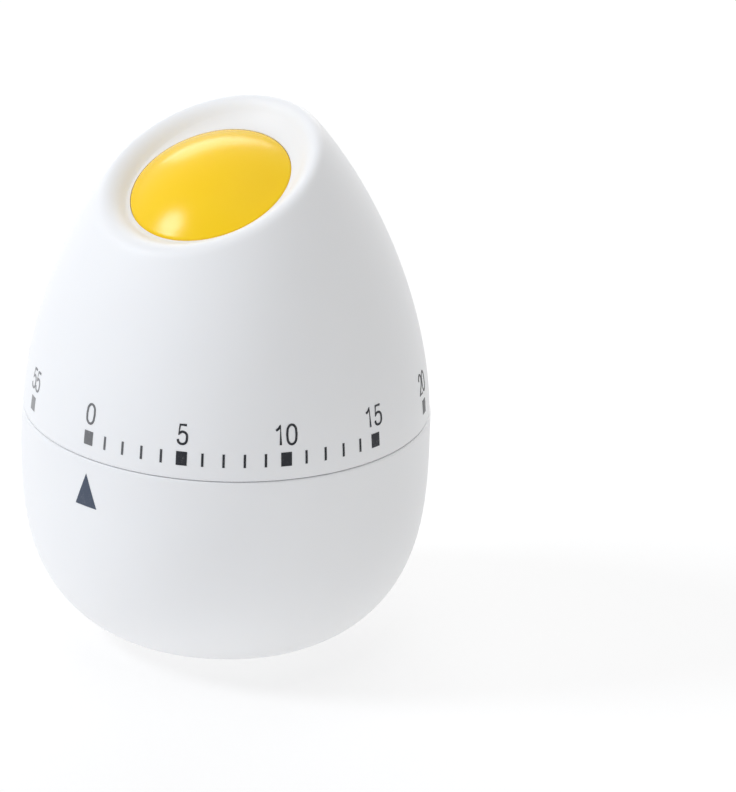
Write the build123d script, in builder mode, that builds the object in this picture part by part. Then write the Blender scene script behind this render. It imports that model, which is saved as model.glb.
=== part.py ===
from build123d import *
import math
import os

# Egg-shaped kitchen timer with a wound movement. All sizes are in millimetres.
# +Z is up, the origin is the centre of the flat foot, and the dial's zero mark faces -Y.

os.makedirs("parts", exist_ok=True)

# --- egg ---
SEAM_HEIGHT = 32.45         # middle of the gap between the two half-shells
SEAM_GAP = 0.3              # height of that gap
SEAM_STEP = 0.15            # how far the base stands proud of the dial at the seam
DIAL_RADIUS = 28.0          # outside radius of the dial shell at the seam
DIAL_RISE = 50.8            # height of the uncut dial egg above the seam
DIAL_RISE_POWER = 1.725     # how late the dial starts to narrow
DIAL_ROUND_POWER = 1.42     # how pointed the dial egg is
FOOT_CUT = 1.5              # how much of the base egg's tip the flat foot takes off
BASE_DROP_POWER = 3.36      # how late the base starts to narrow
BASE_ROUND_POWER = 2.55     # how boxy the base is
WALL = 1.8                  # moulded wall of both half-shells
FOOT_FILLET = 0.8
FLOOR = 3.0                 # height of the base's inner floor above the foot

# --- sloping top, dish and yolk ---
CUT_RISE = 38.8             # height above the seam where the cut crosses the axis
CUT_TILT = 24.2             # slope of the cut, low side over the zero mark
LIP_WIDTH = 2.2             # from the shell's outside to the dish, along the cut
DISH_DEPTH = 2.7            # from the cut to the yolk's edge, square to the cut
LIP_FILLET = 0.7
YOLK_OFFSET = 5.95          # distance down the slope from the axis to the yolk's middle
YOLK_RADIUS = 11.45
YOLK_RISE = 3.2             # crown of the dome over its edge
YOLK_SKIRT = 1.5            # depth of the dome's skirt in its socket
YOLK_WALL = 1.2
SOCKET_CLEARANCE = 0.08
SOCKET_FLOOR = 1.5

# --- base rim and bottom cover ---
SPIGOT_CLEARANCE = 0.3      # radial play between the base's spigot and the dial's skirt
SPIGOT_WALL = 1.0
SPIGOT_RISE = 2.0           # height of the spigot above the seam
LEDGE_DEPTH = 2.6
COVER_RADIUS = 10.6
COVER_THICKNESS = 1.2
COVER_CLEARANCE = 0.1
COVER_RECESS = 0.3          # how far the cover sits above the foot plane
COVER_SHOULDER = 1.8        # radial width of the shoulder that the cover rests on
SLOT_COUNT = 8
SLOT_WIDTH = 1.2
SLOT_INNER = 2.6
SLOT_OUTER = 7.0
HOOK_COUNT = 3
HOOK_WIDTH = 3.0
HOOK_THICKNESS = 0.8
HOOK_BARB = 0.5
HOOK_CLEARANCE = 0.06

# --- plates, pillars and fixings ---
PLATE_THICKNESS = 1.0
MOVEMENT_DROP = 19.05       # from the seam down to the underside of the lower plate
PLATE_SPACING = 10.0        # distance between the plates' inner faces
PLATE_EDGE_GAP = 1.0        # from the lower plate's edge to the base's wall
PLATE_STEP = 3.65           # from the lower plate's edge in to the upper plate's
PILLAR_INSET = 2.0          # from the upper plate's edge in to its pillars
PILLAR_ANGLES = (128, 220, 320)
PILLAR_RADIUS = 1.6
PILLAR_STUD_RADIUS = 1.0
NUT_RADIUS = 2.0            # across the corners
NUT_THICKNESS = 1.4
SCREW_INSET = 1.85          # from the lower plate's edge in to its screws
SCREW_ANGLES = (90, 195, 300)
SCREW_RADIUS = 0.9
SCREW_HEAD_RADIUS = 1.75
SCREW_HEAD_HEIGHT = 1.1
SCREW_LENGTH = 5.0
SLOT_DEPTH = 0.5
DRIVER_SLOT = 0.5
BOSS_RADIUS = 2.0
FIT = 0.01                  # play of a piece that is pressed or screwed on
RUNNING = 0.05              # radial play of a turning shaft in its hole
END_PLAY = 0.2              # play of an arbor's shoulders between the plates

# --- going train ---
PRESSURE_ANGLE = 25.0
BACKLASH = 0.05             # thinning of each tooth at its pitch circle
PINION_TEETH = 8
PINION_ADDENDUM = 0.8       # in modules
WHEEL_ADDENDUM = 0.65       # in modules
ROOT_CLEARANCE = 0.25       # in modules
MAIN_TEETH = 60
TRAIN_EDGE_GAP = 1.7        # from the second wheel's teeth to the base's wall
SECOND_TEETH = 48
SECOND_MODULE = 0.35
THIRD_TEETH = 45
THIRD_MODULE = 0.3
WHEEL_THICKNESS = 0.7
MAIN_THICKNESS = 1.0
PINION_OVERHANG = 0.3       # how far a pinion stands past its wheel on each side
SECOND_ANGLE = 0.0
THIRD_ARBOR_GAP = 1.7       # from the main wheel's teeth out to the third arbor's middle
ESCAPE_ARBOR_GAP = 2.2      # the same for the escape arbor
PALLET_ARBOR_GAP = 3.2      # the same for the pallet arbor
ARBOR_RADIUS = 0.9
PIVOT_RADIUS = 0.5
MAIN_WHEEL_RISE = 0.6       # height of each wheel above the lower plate
SECOND_WHEEL_RISE = 3.6
THIRD_WHEEL_RISE = 5.6
ESCAPE_WHEEL_RISE = 7.6
WINDOW_COUNT = 5            # lightening holes in the second and third wheels

# --- escapement ---
ESCAPE_TEETH = 15
ESCAPE_RADIUS = 4.0
ESCAPE_TOOTH_DEPTH = 0.9
ESCAPE_TOOTH_ROOT = 0.3     # half the tooth's width at its root
PALLET_SPAN = 3.5           # in escape teeth
PALLET_PIN_RADIUS = 0.25
PALLET_PIN_GAP = 0.06
PALLET_ARM_RADIUS = 0.5
PALLET_HUB_RADIUS = 1.3
PALLET_THICKNESS = 0.6
BALANCE_REACH = 4.6         # length of the pallet lever's weighted tail
BALANCE_RADIUS = 1.5

# --- winding arbor, ratchet and mainspring ---
WINDING_RADIUS = 2.0
WINDING_PIVOT_RADIUS = 1.0
FLAT_DEPTH = 0.5            # depth of the arbor's D flat
FLAT_RUNOUT = 0.6           # how far the flat runs on below the hub
RATCHET_TEETH = 16
RATCHET_RADIUS = 5.0
RATCHET_DEPTH = 0.9
RATCHET_GAP = 0.2           # height of the ratchet above the main wheel
RATCHET_THICKNESS = 0.8
CLICK_PIVOT = (5.9, 7.0)    # outward and along the ratchet from the held tooth
CLICK_EYE_RADIUS = 1.2
CLICK_RIVET_RADIUS = 0.5
CLICK_RIVET_HEAD = 0.9
CLICK_RIVET_HEAD_HEIGHT = 0.35
CLICK_SPRING_RADIUS = 0.15
CLICK_SPRING_ANCHOR = (9.6, -1.0)
CLICK_SPRING_TIP = (7.1, 5.2)
CLICK_BEAK_GAP = 0.2        # from the beak's point to the ratchet's root
CLICK_BEAK_SET = 0.3        # set-back of the beak's point from the held tooth's face
CLICK_FACE_GAP = 0.1
CLICK_HEIGHT = 1.5          # outward reach of the click past the ratchet
CLICK_THICKNESS = 0.6
SPRING_INNER = 2.3
SPRING_OUTER = 7.8
SPRING_TURNS = 7
SPRING_STRIP = 0.25
SPRING_POINTS_PER_TURN = 12
SPRING_RISE = 4.8           # height of the spring above the lower plate
SPRING_HEIGHT = 4.4
SPRING_END_ANGLE = 200.0
SPRING_POST_RADIUS = 0.6

# --- stop and trip ---
STOP_ANGLE = 270.0
STOP_CIRCLE = 7.4
STOP_PIN_RADIUS = 0.7
STOP_SHARE = 10.0           # angle from the stop pin to the finger at either end of the turn
STOP_FINGER_LENGTH = 8.5
STOP_CLEARANCE = 0.08
STOP_THICKNESS = 0.8
COLLAR_RADIUS = 3.4
DECK_GAP = 0.2              # height of a turning piece above the one below it
CAM_RADIUS = 6.0
CAM_THICKNESS = 0.8
NOTCH_DEPTH = 1.7
NOTCH_HALF_WIDTH = 1.5
NOSE_ANGLE = 85.0
NOSE_RADIUS = 0.8
NOSE_GAP = 0.1
NOSE_LENGTH = 1.8           # from the lever's bar in to the middle of its nose
LEVER_REACH = 9.5           # trip lever, pivot to nose
LEVER_TAIL = 4.6            # trip lever, pivot to tail
LEVER_HALF_WIDTH = 0.8
LEVER_EYE_RADIUS = 1.8
LEVER_POST_RADIUS = 0.9
LEVER_POST_HEAD = 1.5
LEVER_POST_HEAD_HEIGHT = 0.6

# --- hammer and bell ---
HAMMER_INSET = 7.5          # from the lower plate's edge in to the hammer's pivot
HAMMER_ANGLE = 165.0
HAMMER_REACH = 8.0
HAMMER_HEAD_RADIUS = 1.4
HAMMER_HEAD_DIP = 1.9       # how far the head hangs below the bell's rim
HAMMER_REST_GAP = 0.5       # between the hammer's head and the bell
HAMMER_ARM_THICKNESS = 0.8
HAMMER_ARM_HALF_WIDTH = 0.9
HAMMER_ARM_DROP = 0.8       # from the lower plate down to the arm
HAMMER_TAIL_GAP = 0.3       # between the hammer's tail and the trip lever
HAMMER_SPRING_WIRE = 0.2
HAMMER_SPRING_RADIUS = 1.4
HAMMER_SPRING_PITCH = 0.7
HAMMER_SPRING_TURNS = 4
BELL_EDGE_GAP = 1.9         # from the bell to the base's wall
BELL_WALL = 0.8
BELL_LIFT = 1.6             # height of the bell above the base's floor
BELL_RIM_GAP = 0.6          # from the bell's rim up to the hammer's arm
BELL_FILLET = 2.4
BELL_POST_RADIUS = 2.8
BELL_SPIGOT_RADIUS = 2.2
BELL_SCREW_RADIUS = 0.95
BELL_SCREW_HEAD = 2.1
BELL_SCREW_HEAD_HEIGHT = 0.7
BELL_SCREW_LENGTH = 4.5

# --- inside the dial ---
HUB_RADIUS = 3.4
HUB_DROP = 1.85             # from the seam down to the hub's end
HUB_GRIP = 13.4             # length of the arbor inside the hub
HUB_END_GAP = 1.0           # from the arbor's top to the end of its bore
RIB_THICKNESS = 1.2
RIB_RISE = 17.5             # from the seam up to the ribs
RIB_COUNT = 4

BASE_DROP = SEAM_HEIGHT + FOOT_CUT
BASE_RADIUS = DIAL_RADIUS + SEAM_STEP
BASE_TOP = SEAM_HEIGHT - SEAM_GAP / 2
HUB_BOTTOM = SEAM_HEIGHT - HUB_DROP
RIB_BOTTOM = SEAM_HEIGHT + RIB_RISE
WINDING_TOP = HUB_BOTTOM + HUB_GRIP
LOWER_PLATE_Z = SEAM_HEIGHT - MOVEMENT_DROP
LOWER_PLATE_TOP = LOWER_PLATE_Z + PLATE_THICKNESS
UPPER_PLATE_Z = LOWER_PLATE_TOP + PLATE_SPACING
UPPER_PLATE_TOP = UPPER_PLATE_Z + PLATE_THICKNESS
MAIN_WHEEL_Z = LOWER_PLATE_TOP + MAIN_WHEEL_RISE
SECOND_WHEEL_Z = LOWER_PLATE_TOP + SECOND_WHEEL_RISE
THIRD_WHEEL_Z = LOWER_PLATE_TOP + THIRD_WHEEL_RISE
ESCAPE_WHEEL_Z = LOWER_PLATE_TOP + ESCAPE_WHEEL_RISE
SPRING_BOTTOM = LOWER_PLATE_TOP + SPRING_RISE
BELL_BOTTOM = FLOOR + BELL_LIFT


def polar(radius, angle, centre=(0, 0)):
    """Point at a distance and bearing, in degrees, from a centre."""
    turn = math.radians(angle)
    return (centre[0] + radius * math.cos(turn), centre[1] + radius * math.sin(turn))


def bearing(start, end):
    """Direction in degrees from one point to another."""
    return math.degrees(math.atan2(end[1] - start[1], end[0] - start[0]))


def middle_of(start, end):
    """Point halfway between two points."""
    return ((start[0] + end[0]) / 2, (start[1] + end[1]) / 2)


def angle_between(side_a, side_b, opposite):
    """Angle in degrees between two sides of a triangle, from the side opposite it."""
    cosine = (side_a**2 + side_b**2 - opposite**2) / (2 * side_a * side_b)
    return math.degrees(math.acos(cosine))


def egg_radius(height, radius, length, length_power, round_power):
    """Radius of an egg end at a distance from the seam."""
    return radius * (1 - (height / length) ** length_power) ** (1 / round_power)


def base_points(radius, drop, depth, count=9):
    """Half-section of the base, from the seam down to a depth."""
    depths = [depth * math.sin(math.pi / 2 * i / (count - 1)) for i in range(count)]
    return [
        (egg_radius(d, radius, drop, BASE_DROP_POWER, BASE_ROUND_POWER), SEAM_HEIGHT - d)
        for d in depths
    ]


def dial_points(radius, rise, count=9):
    """Half-section of the uncut dial, from the seam up to its apex."""
    heights = [rise * math.sin(math.pi / 2 * i / (count - 1)) for i in range(count)]
    return [
        (egg_radius(h, radius, rise, DIAL_RISE_POWER, DIAL_ROUND_POWER), SEAM_HEIGHT + h)
        for h in heights
    ]


def cavity_radius_at(height):
    """Radius of the base's cavity at a height above the foot."""
    radius = BASE_RADIUS - WALL
    return egg_radius(SEAM_HEIGHT - height, radius, BASE_DROP - WALL, BASE_DROP_POWER, BASE_ROUND_POWER)


def rim_distance(tilt, side):
    """Distance up the slope (side 1) or down it (side -1) from the axis to the cut's edge."""
    near = 0
    far = DIAL_RADIUS
    for _ in range(40):
        middle = (near + far) / 2
        height = CUT_RISE + side * middle * math.sin(tilt)
        if middle * math.cos(tilt) < dial_radius_at(height):
            near = middle
        else:
            far = middle
    return near


def dial_radius_at(height):
    """Outside radius of the dial egg at a height above the seam."""
    return egg_radius(min(height, DIAL_RISE), DIAL_RADIUS, DIAL_RISE, DIAL_RISE_POWER, DIAL_ROUND_POWER)


def gear_points(teeth, module, addendum, opposite_addendum, phase, centre):
    """Outline of an involute gear with one tooth centred on the phase angle."""
    pitch_radius = module * teeth / 2
    tip_radius = pitch_radius + addendum * module
    root_radius = pitch_radius - (opposite_addendum + ROOT_CLEARANCE) * module
    pressure = math.radians(PRESSURE_ANGLE)
    base_radius = pitch_radius * math.cos(pressure)
    half_pitch_angle = math.pi / (2 * teeth) - BACKLASH / (2 * pitch_radius)

    def half_angle(radius):
        local = math.acos(min(1, base_radius / radius))
        involute_change = math.tan(pressure) - pressure - math.tan(local) + local
        return math.degrees(half_pitch_angle + involute_change)

    flank_start = max(root_radius, base_radius)
    flank = [(r, half_angle(r)) for r in (flank_start, pitch_radius, tip_radius)]
    if root_radius < base_radius:
        flank.insert(0, (root_radius, half_angle(base_radius)))
    points = []
    for tooth in range(teeth):
        middle = phase + 360 * tooth / teeth
        points += [polar(r, middle - a, centre) for r, a in flank]
        points += [polar(r, middle + a, centre) for r, a in reversed(flank)]
    return points


# Sizes that follow from the room inside the base.
lower_plate_radius = cavity_radius_at(LOWER_PLATE_Z) - PLATE_EDGE_GAP
upper_plate_radius = lower_plate_radius - PLATE_STEP
bell_radius = cavity_radius_at(BELL_BOTTOM) - BELL_EDGE_GAP
second_tip_radius = SECOND_MODULE * (SECOND_TEETH / 2 + WHEEL_ADDENDUM)
second_distance = cavity_radius_at(SECOND_WHEEL_Z) - TRAIN_EDGE_GAP - second_tip_radius
main_module = 2 * second_distance / (MAIN_TEETH + PINION_TEETH)
main_tip_radius = main_module * (MAIN_TEETH / 2 + WHEEL_ADDENDUM)
third_circle = main_tip_radius + THIRD_ARBOR_GAP
escape_circle = main_tip_radius + ESCAPE_ARBOR_GAP
pallet_circle = main_tip_radius + PALLET_ARBOR_GAP
hammer_circle = lower_plate_radius - HAMMER_INSET

# Places of the arbors, each in mesh with the one before it.
third_distance = SECOND_MODULE * (SECOND_TEETH + PINION_TEETH) / 2
escape_distance = THIRD_MODULE * (THIRD_TEETH + PINION_TEETH) / 2
pallet_half_span = 360 / ESCAPE_TEETH * PALLET_SPAN / 2
pin_circle = ESCAPE_RADIUS + PALLET_PIN_RADIUS + PALLET_PIN_GAP
pallet_distance = pin_circle / math.cos(math.radians(pallet_half_span))
pallet_reach = pin_circle * math.tan(math.radians(pallet_half_span))

third_angle = SECOND_ANGLE + angle_between(second_distance, third_circle, third_distance)
escape_angle = third_angle + angle_between(third_circle, escape_circle, escape_distance)
pallet_angle = escape_angle + angle_between(escape_circle, pallet_circle, pallet_distance)

MIDDLE = (0, 0)
second_centre = polar(second_distance, SECOND_ANGLE)
third_centre = polar(third_circle, third_angle)
escape_centre = polar(escape_circle, escape_angle)
pallet_centre = polar(pallet_circle, pallet_angle)
hammer_centre = polar(hammer_circle, HAMMER_ANGLE)
stop_centre = polar(STOP_CIRCLE, STOP_ANGLE)

nose_circle = CAM_RADIUS + NOSE_GAP + NOSE_RADIUS
nose_centre = polar(nose_circle, NOSE_ANGLE)
bar_end = polar(nose_circle + NOSE_LENGTH, NOSE_ANGLE)
lever_centre = polar(LEVER_REACH, NOSE_ANGLE + 90, bar_end)
tail_centre = polar(LEVER_TAIL, NOSE_ANGLE + 90, lever_centre)

spring_post_circle = SPRING_OUTER + SPRING_STRIP + SPRING_POST_RADIUS + FIT
spring_post_centre = polar(spring_post_circle, SPRING_END_ANGLE)

stop_z = UPPER_PLATE_TOP + DECK_GAP
cam_z = stop_z + STOP_THICKNESS + DECK_GAP
arbor_bottom = LOWER_PLATE_TOP + END_PLAY
arbor_top = UPPER_PLATE_Z - END_PLAY

pillar_centres = [polar(upper_plate_radius - PILLAR_INSET, angle) for angle in PILLAR_ANGLES]
screw_centres = [polar(lower_plate_radius - SCREW_INSET, angle) for angle in SCREW_ANGLES]
train_centres = [second_centre, third_centre, escape_centre, pallet_centre]

# The sloping cut at the top of the dial: local +Z leaves it, local +Y runs up the slope.
tilt = math.radians(CUT_TILT)
cut_plane = Plane(
    origin=(0, 0, SEAM_HEIGHT + CUT_RISE),
    x_dir=(1, 0, 0),
    z_dir=(0, -math.sin(tilt), math.cos(tilt)),
)
rim_up = rim_distance(tilt, 1)
rim_down = rim_distance(tilt, -1)
dish_offset = (rim_down - rim_up) / 2
dish_half_length = (rim_down + rim_up) / 2 - LIP_WIDTH
dish_middle_height = CUT_RISE - dish_offset * math.sin(tilt)
rim_half_width = math.sqrt(dial_radius_at(dish_middle_height) ** 2 - (dish_offset * math.cos(tilt)) ** 2)
dish_half_width = rim_half_width - LIP_WIDTH
yolk_edge_plane = cut_plane.offset(-DISH_DEPTH)
socket_plane = cut_plane.offset(-DISH_DEPTH - YOLK_SKIRT)
ceiling_plane = cut_plane.offset(-DISH_DEPTH - YOLK_SKIRT - SOCKET_FLOOR)

# --- base shell: lower half of the egg, carries the movement and the bell ---
with BuildPart() as base_cavity:
    with BuildSketch(Plane.XZ):
        with BuildLine():
            wall_line = Spline(*base_points(BASE_RADIUS - WALL, BASE_DROP - WALL, SEAM_HEIGHT - FLOOR))
            Polyline(wall_line @ 1, (0, FLOOR), (0, SEAM_HEIGHT), wall_line @ 0)
        make_face()
    revolve(axis=Axis.Z)
    with BuildSketch():
        with Locations(*screw_centres):
            Circle(BOSS_RADIUS)
    extrude(amount=LOWER_PLATE_Z, mode=Mode.SUBTRACT)

opening_radius = COVER_RADIUS + COVER_CLEARANCE - COVER_SHOULDER
shoulder_z = COVER_RECESS + COVER_THICKNESS
spigot_radius = DIAL_RADIUS - WALL - SPIGOT_CLEARANCE
with BuildPart() as base_shell:
    with BuildSketch(Plane.XZ):
        with BuildLine():
            outside = Spline(*base_points(BASE_RADIUS, BASE_DROP, SEAM_HEIGHT))
            Polyline(outside @ 1, (0, 0), (0, SEAM_HEIGHT), outside @ 0)
        make_face()
    revolve(axis=Axis.Z)
    foot_edge = base_shell.edges().filter_by(GeomType.CIRCLE).group_by(Axis.Z)[0]
    fillet(foot_edge, FOOT_FILLET)
    add(base_cavity.part, mode=Mode.SUBTRACT)
    with BuildSketch(Plane.XY.offset(BASE_TOP)):
        Circle(BASE_RADIUS + WALL)
    extrude(amount=SEAM_GAP, mode=Mode.SUBTRACT)
    with BuildSketch(Plane.XY.offset(BASE_TOP - LEDGE_DEPTH)):
        Circle(BASE_RADIUS - WALL / 2)
        Circle(spigot_radius - SPIGOT_WALL, mode=Mode.SUBTRACT)
    extrude(amount=LEDGE_DEPTH)
    with BuildSketch(Plane.XY.offset(BASE_TOP)):
        Circle(spigot_radius)
        Circle(spigot_radius - SPIGOT_WALL, mode=Mode.SUBTRACT)
    extrude(amount=SEAM_GAP + SPIGOT_RISE)
    with Locations((0, 0, 0)):
        Cylinder(
            COVER_RADIUS + COVER_CLEARANCE,
            shoulder_z,
            align=(Align.CENTER, Align.CENTER, Align.MIN),
            mode=Mode.SUBTRACT,
        )
        Cylinder(
            opening_radius,
            FLOOR,
            align=(Align.CENTER, Align.CENTER, Align.MIN),
            mode=Mode.SUBTRACT,
        )
    with Locations(*[(x, y, LOWER_PLATE_Z) for x, y in screw_centres]):
        Hole(SCREW_RADIUS + FIT, depth=SCREW_LENGTH)

base_shell.part.label = "base_shell"
export_step(base_shell.part, "parts/base_shell.step")

# --- bottom cover: clips into the foot, slots let the bell sound out ---
with BuildPart() as base_cover:
    with BuildSketch(Plane.XY.offset(COVER_RECESS)):
        Circle(COVER_RADIUS)
        slot_middle = (SLOT_INNER + SLOT_OUTER) / 2
        with PolarLocations(slot_middle, SLOT_COUNT):
            SlotOverall(SLOT_OUTER - SLOT_INNER, SLOT_WIDTH, mode=Mode.SUBTRACT)
    extrude(amount=COVER_THICKNESS)
    hook_outside = opening_radius - HOOK_CLEARANCE
    hook_height = FLOOR - shoulder_z + HOOK_CLEARANCE
    with BuildSketch(Plane.XY.offset(shoulder_z)):
        with PolarLocations(hook_outside - HOOK_THICKNESS / 2, HOOK_COUNT):
            Rectangle(HOOK_THICKNESS, HOOK_WIDTH)
        Circle(hook_outside, mode=Mode.INTERSECT)
    extrude(amount=hook_height + HOOK_BARB)
    with BuildSketch(Plane.XY.offset(FLOOR + HOOK_CLEARANCE)):
        with PolarLocations(hook_outside, HOOK_COUNT):
            Rectangle(2 * HOOK_BARB, HOOK_WIDTH)
    extrude(amount=HOOK_BARB)

base_cover.part.label = "base_cover"
export_step(base_cover.part, "parts/base_cover.step")

# --- dial shell: upper half of the egg, turned by hand ---
with BuildPart() as dial_cavity:
    with BuildSketch(Plane.XZ):
        with BuildLine():
            wall_line = Spline(*dial_points(DIAL_RADIUS - WALL, DIAL_RISE - WALL))
            Polyline(wall_line @ 1, (0, SEAM_HEIGHT), wall_line @ 0)
        make_face()
    revolve(axis=Axis.Z)
    split(bisect_by=ceiling_plane, keep=Keep.BOTTOM)
    with BuildSketch(Plane.XY.offset(SEAM_HEIGHT)):
        Circle(HUB_RADIUS)
    extrude(amount=DIAL_RISE, mode=Mode.SUBTRACT)
    with BuildSketch(Plane.XY.offset(RIB_BOTTOM)):
        with PolarLocations(DIAL_RADIUS / 2, RIB_COUNT):
            Rectangle(DIAL_RADIUS, RIB_THICKNESS)
    extrude(amount=DIAL_RISE, mode=Mode.SUBTRACT)

with BuildPart() as dial_shell:
    with BuildSketch(Plane.XZ):
        with BuildLine():
            outside = Spline(*dial_points(DIAL_RADIUS, DIAL_RISE))
            Polyline(outside @ 1, (0, SEAM_HEIGHT), outside @ 0)
        make_face()
    revolve(axis=Axis.Z)
    split(bisect_by=cut_plane, keep=Keep.BOTTOM)
    add(dial_cavity.part, mode=Mode.SUBTRACT)
    with BuildSketch(Plane.XY.offset(SEAM_HEIGHT)):
        Circle(DIAL_RADIUS + WALL)
    extrude(amount=SEAM_GAP / 2, mode=Mode.SUBTRACT)
    with BuildSketch(yolk_edge_plane):
        with Locations((0, -YOLK_OFFSET)):
            Circle(YOLK_RADIUS + SOCKET_CLEARANCE)
    with BuildSketch(cut_plane):
        with Locations((0, -dish_offset)):
            Ellipse(dish_half_width, dish_half_length)
    loft(mode=Mode.SUBTRACT)
    with BuildSketch(yolk_edge_plane):
        with Locations((0, -YOLK_OFFSET)):
            Circle(YOLK_RADIUS + SOCKET_CLEARANCE)
    extrude(amount=-YOLK_SKIRT, mode=Mode.SUBTRACT)
    with BuildSketch(Plane.XY.offset(HUB_BOTTOM)):
        Circle(HUB_RADIUS)
    extrude(amount=RIB_BOTTOM - HUB_BOTTOM)
    with BuildSketch(Plane.XY.offset(HUB_BOTTOM)):
        Circle(WINDING_RADIUS + FIT)
        flat_side = WINDING_RADIUS - FLAT_DEPTH + FIT
        with Locations((0, flat_side)):
            Rectangle(
                2 * HUB_RADIUS,
                HUB_RADIUS,
                align=(Align.CENTER, Align.MIN),
                mode=Mode.SUBTRACT,
            )
    extrude(amount=HUB_GRIP + HUB_END_GAP, mode=Mode.SUBTRACT)
    up_slope_normal = Axis(cut_plane.origin, cut_plane.z_dir)
    lip_face = dial_shell.faces().filter_by(GeomType.PLANE).sort_by(up_slope_normal)[-1]
    fillet(lip_face.edges(), LIP_FILLET)

dial_shell.part.label = "dial_shell"
export_step(dial_shell.part, "parts/dial_shell.step")

# --- yolk: hollow domed cap pressed into the dish's socket ---
yolk_plane = Plane(
    origin=yolk_edge_plane.from_local_coords((0, -YOLK_OFFSET, 0)),
    x_dir=cut_plane.x_dir,
    z_dir=cut_plane.z_dir,
)
dome_radius = (YOLK_RADIUS**2 + YOLK_RISE**2) / (2 * YOLK_RISE)
dome_centre = yolk_plane.offset(YOLK_RISE - dome_radius)
with BuildPart() as yolk_dome:
    with BuildSketch(yolk_plane.offset(-YOLK_SKIRT)):
        Circle(YOLK_RADIUS)
    extrude(amount=YOLK_SKIRT + YOLK_RISE)
    with Locations(dome_centre):
        Sphere(dome_radius, mode=Mode.INTERSECT)
    with BuildSketch(yolk_plane.offset(-YOLK_SKIRT)):
        Circle(YOLK_RADIUS - YOLK_WALL)
    extrude(amount=YOLK_SKIRT, mode=Mode.SUBTRACT)

yolk_dome.part.label = "yolk_dome"
export_step(yolk_dome.part, "parts/yolk_dome.step")

# --- lower plate: carries the lower pivots and screws onto the base's bosses ---
with BuildPart() as lower_plate:
    with BuildSketch(Plane.XY.offset(LOWER_PLATE_Z)):
        Circle(lower_plate_radius)
        Circle(BELL_SPIGOT_RADIUS + FIT, mode=Mode.SUBTRACT)
        with Locations(*train_centres):
            Circle(PIVOT_RADIUS + RUNNING, mode=Mode.SUBTRACT)
        with Locations(hammer_centre):
            Circle(ARBOR_RADIUS + RUNNING, mode=Mode.SUBTRACT)
        with Locations(*pillar_centres):
            Circle(PILLAR_STUD_RADIUS + FIT, mode=Mode.SUBTRACT)
        with Locations(*screw_centres):
            Circle(SCREW_RADIUS + RUNNING, mode=Mode.SUBTRACT)
    extrude(amount=PLATE_THICKNESS)

lower_plate.part.label = "lower_plate"
export_step(lower_plate.part, "parts/lower_plate.step")

# --- upper plate: carries the upper pivots, the stop pin and the trip lever ---
with BuildPart() as upper_plate:
    with BuildSketch(Plane.XY.offset(UPPER_PLATE_Z)):
        Circle(upper_plate_radius)
        Circle(WINDING_RADIUS + RUNNING, mode=Mode.SUBTRACT)
        with Locations(*train_centres):
            Circle(PIVOT_RADIUS + RUNNING, mode=Mode.SUBTRACT)
        with Locations(hammer_centre):
            Circle(ARBOR_RADIUS + RUNNING, mode=Mode.SUBTRACT)
        with Locations(*pillar_centres):
            Circle(PILLAR_STUD_RADIUS + FIT, mode=Mode.SUBTRACT)
        with Locations(stop_centre):
            Circle(STOP_PIN_RADIUS + FIT, mode=Mode.SUBTRACT)
        with Locations(spring_post_centre):
            Circle(SPRING_POST_RADIUS + FIT, mode=Mode.SUBTRACT)
        with Locations(lever_centre):
            Circle(LEVER_POST_RADIUS + FIT, mode=Mode.SUBTRACT)
    extrude(amount=PLATE_THICKNESS)

upper_plate.part.label = "upper_plate"
export_step(upper_plate.part, "parts/upper_plate.step")

# --- pillars: shouldered spacers, riveted below and threaded above ---
with BuildPart() as plate_pillars:
    with BuildSketch(Plane.XY.offset(LOWER_PLATE_Z)):
        with Locations(*pillar_centres):
            Circle(PILLAR_STUD_RADIUS)
    extrude(amount=2 * PLATE_THICKNESS + PLATE_SPACING + NUT_THICKNESS)
    with BuildSketch(Plane.XY.offset(LOWER_PLATE_TOP)):
        with Locations(*pillar_centres):
            Circle(PILLAR_RADIUS)
    extrude(amount=PLATE_SPACING)

plate_pillars.part.label = "plate_pillars"
export_step(plate_pillars.part, "parts/plate_pillars.step")

# --- pillar nuts: hold the upper plate down on the pillars ---
with BuildPart() as pillar_nuts:
    with BuildSketch(Plane.XY.offset(UPPER_PLATE_TOP)):
        with Locations(*pillar_centres):
            RegularPolygon(NUT_RADIUS, 6)
            Circle(PILLAR_STUD_RADIUS + FIT, mode=Mode.SUBTRACT)
    extrude(amount=NUT_THICKNESS)

pillar_nuts.part.label = "pillar_nuts"
export_step(pillar_nuts.part, "parts/pillar_nuts.step")

# --- movement screws: self-tapping screws through the lower plate into the bosses ---
with BuildPart() as movement_screws:
    with BuildSketch(Plane.XY.offset(LOWER_PLATE_TOP)):
        with Locations(*screw_centres):
            Circle(SCREW_RADIUS)
    extrude(amount=FIT - SCREW_LENGTH)
    with BuildSketch(Plane.XY.offset(LOWER_PLATE_TOP)):
        with Locations(*screw_centres):
            Circle(SCREW_HEAD_RADIUS)
    extrude(amount=SCREW_HEAD_HEIGHT)
    with BuildSketch(Plane.XY.offset(LOWER_PLATE_TOP + SCREW_HEAD_HEIGHT)):
        with Locations(*screw_centres):
            Rectangle(2 * SCREW_HEAD_RADIUS, DRIVER_SLOT)
    extrude(amount=-SLOT_DEPTH, mode=Mode.SUBTRACT)

movement_screws.part.label = "movement_screws"
export_step(movement_screws.part, "parts/movement_screws.step")

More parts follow.
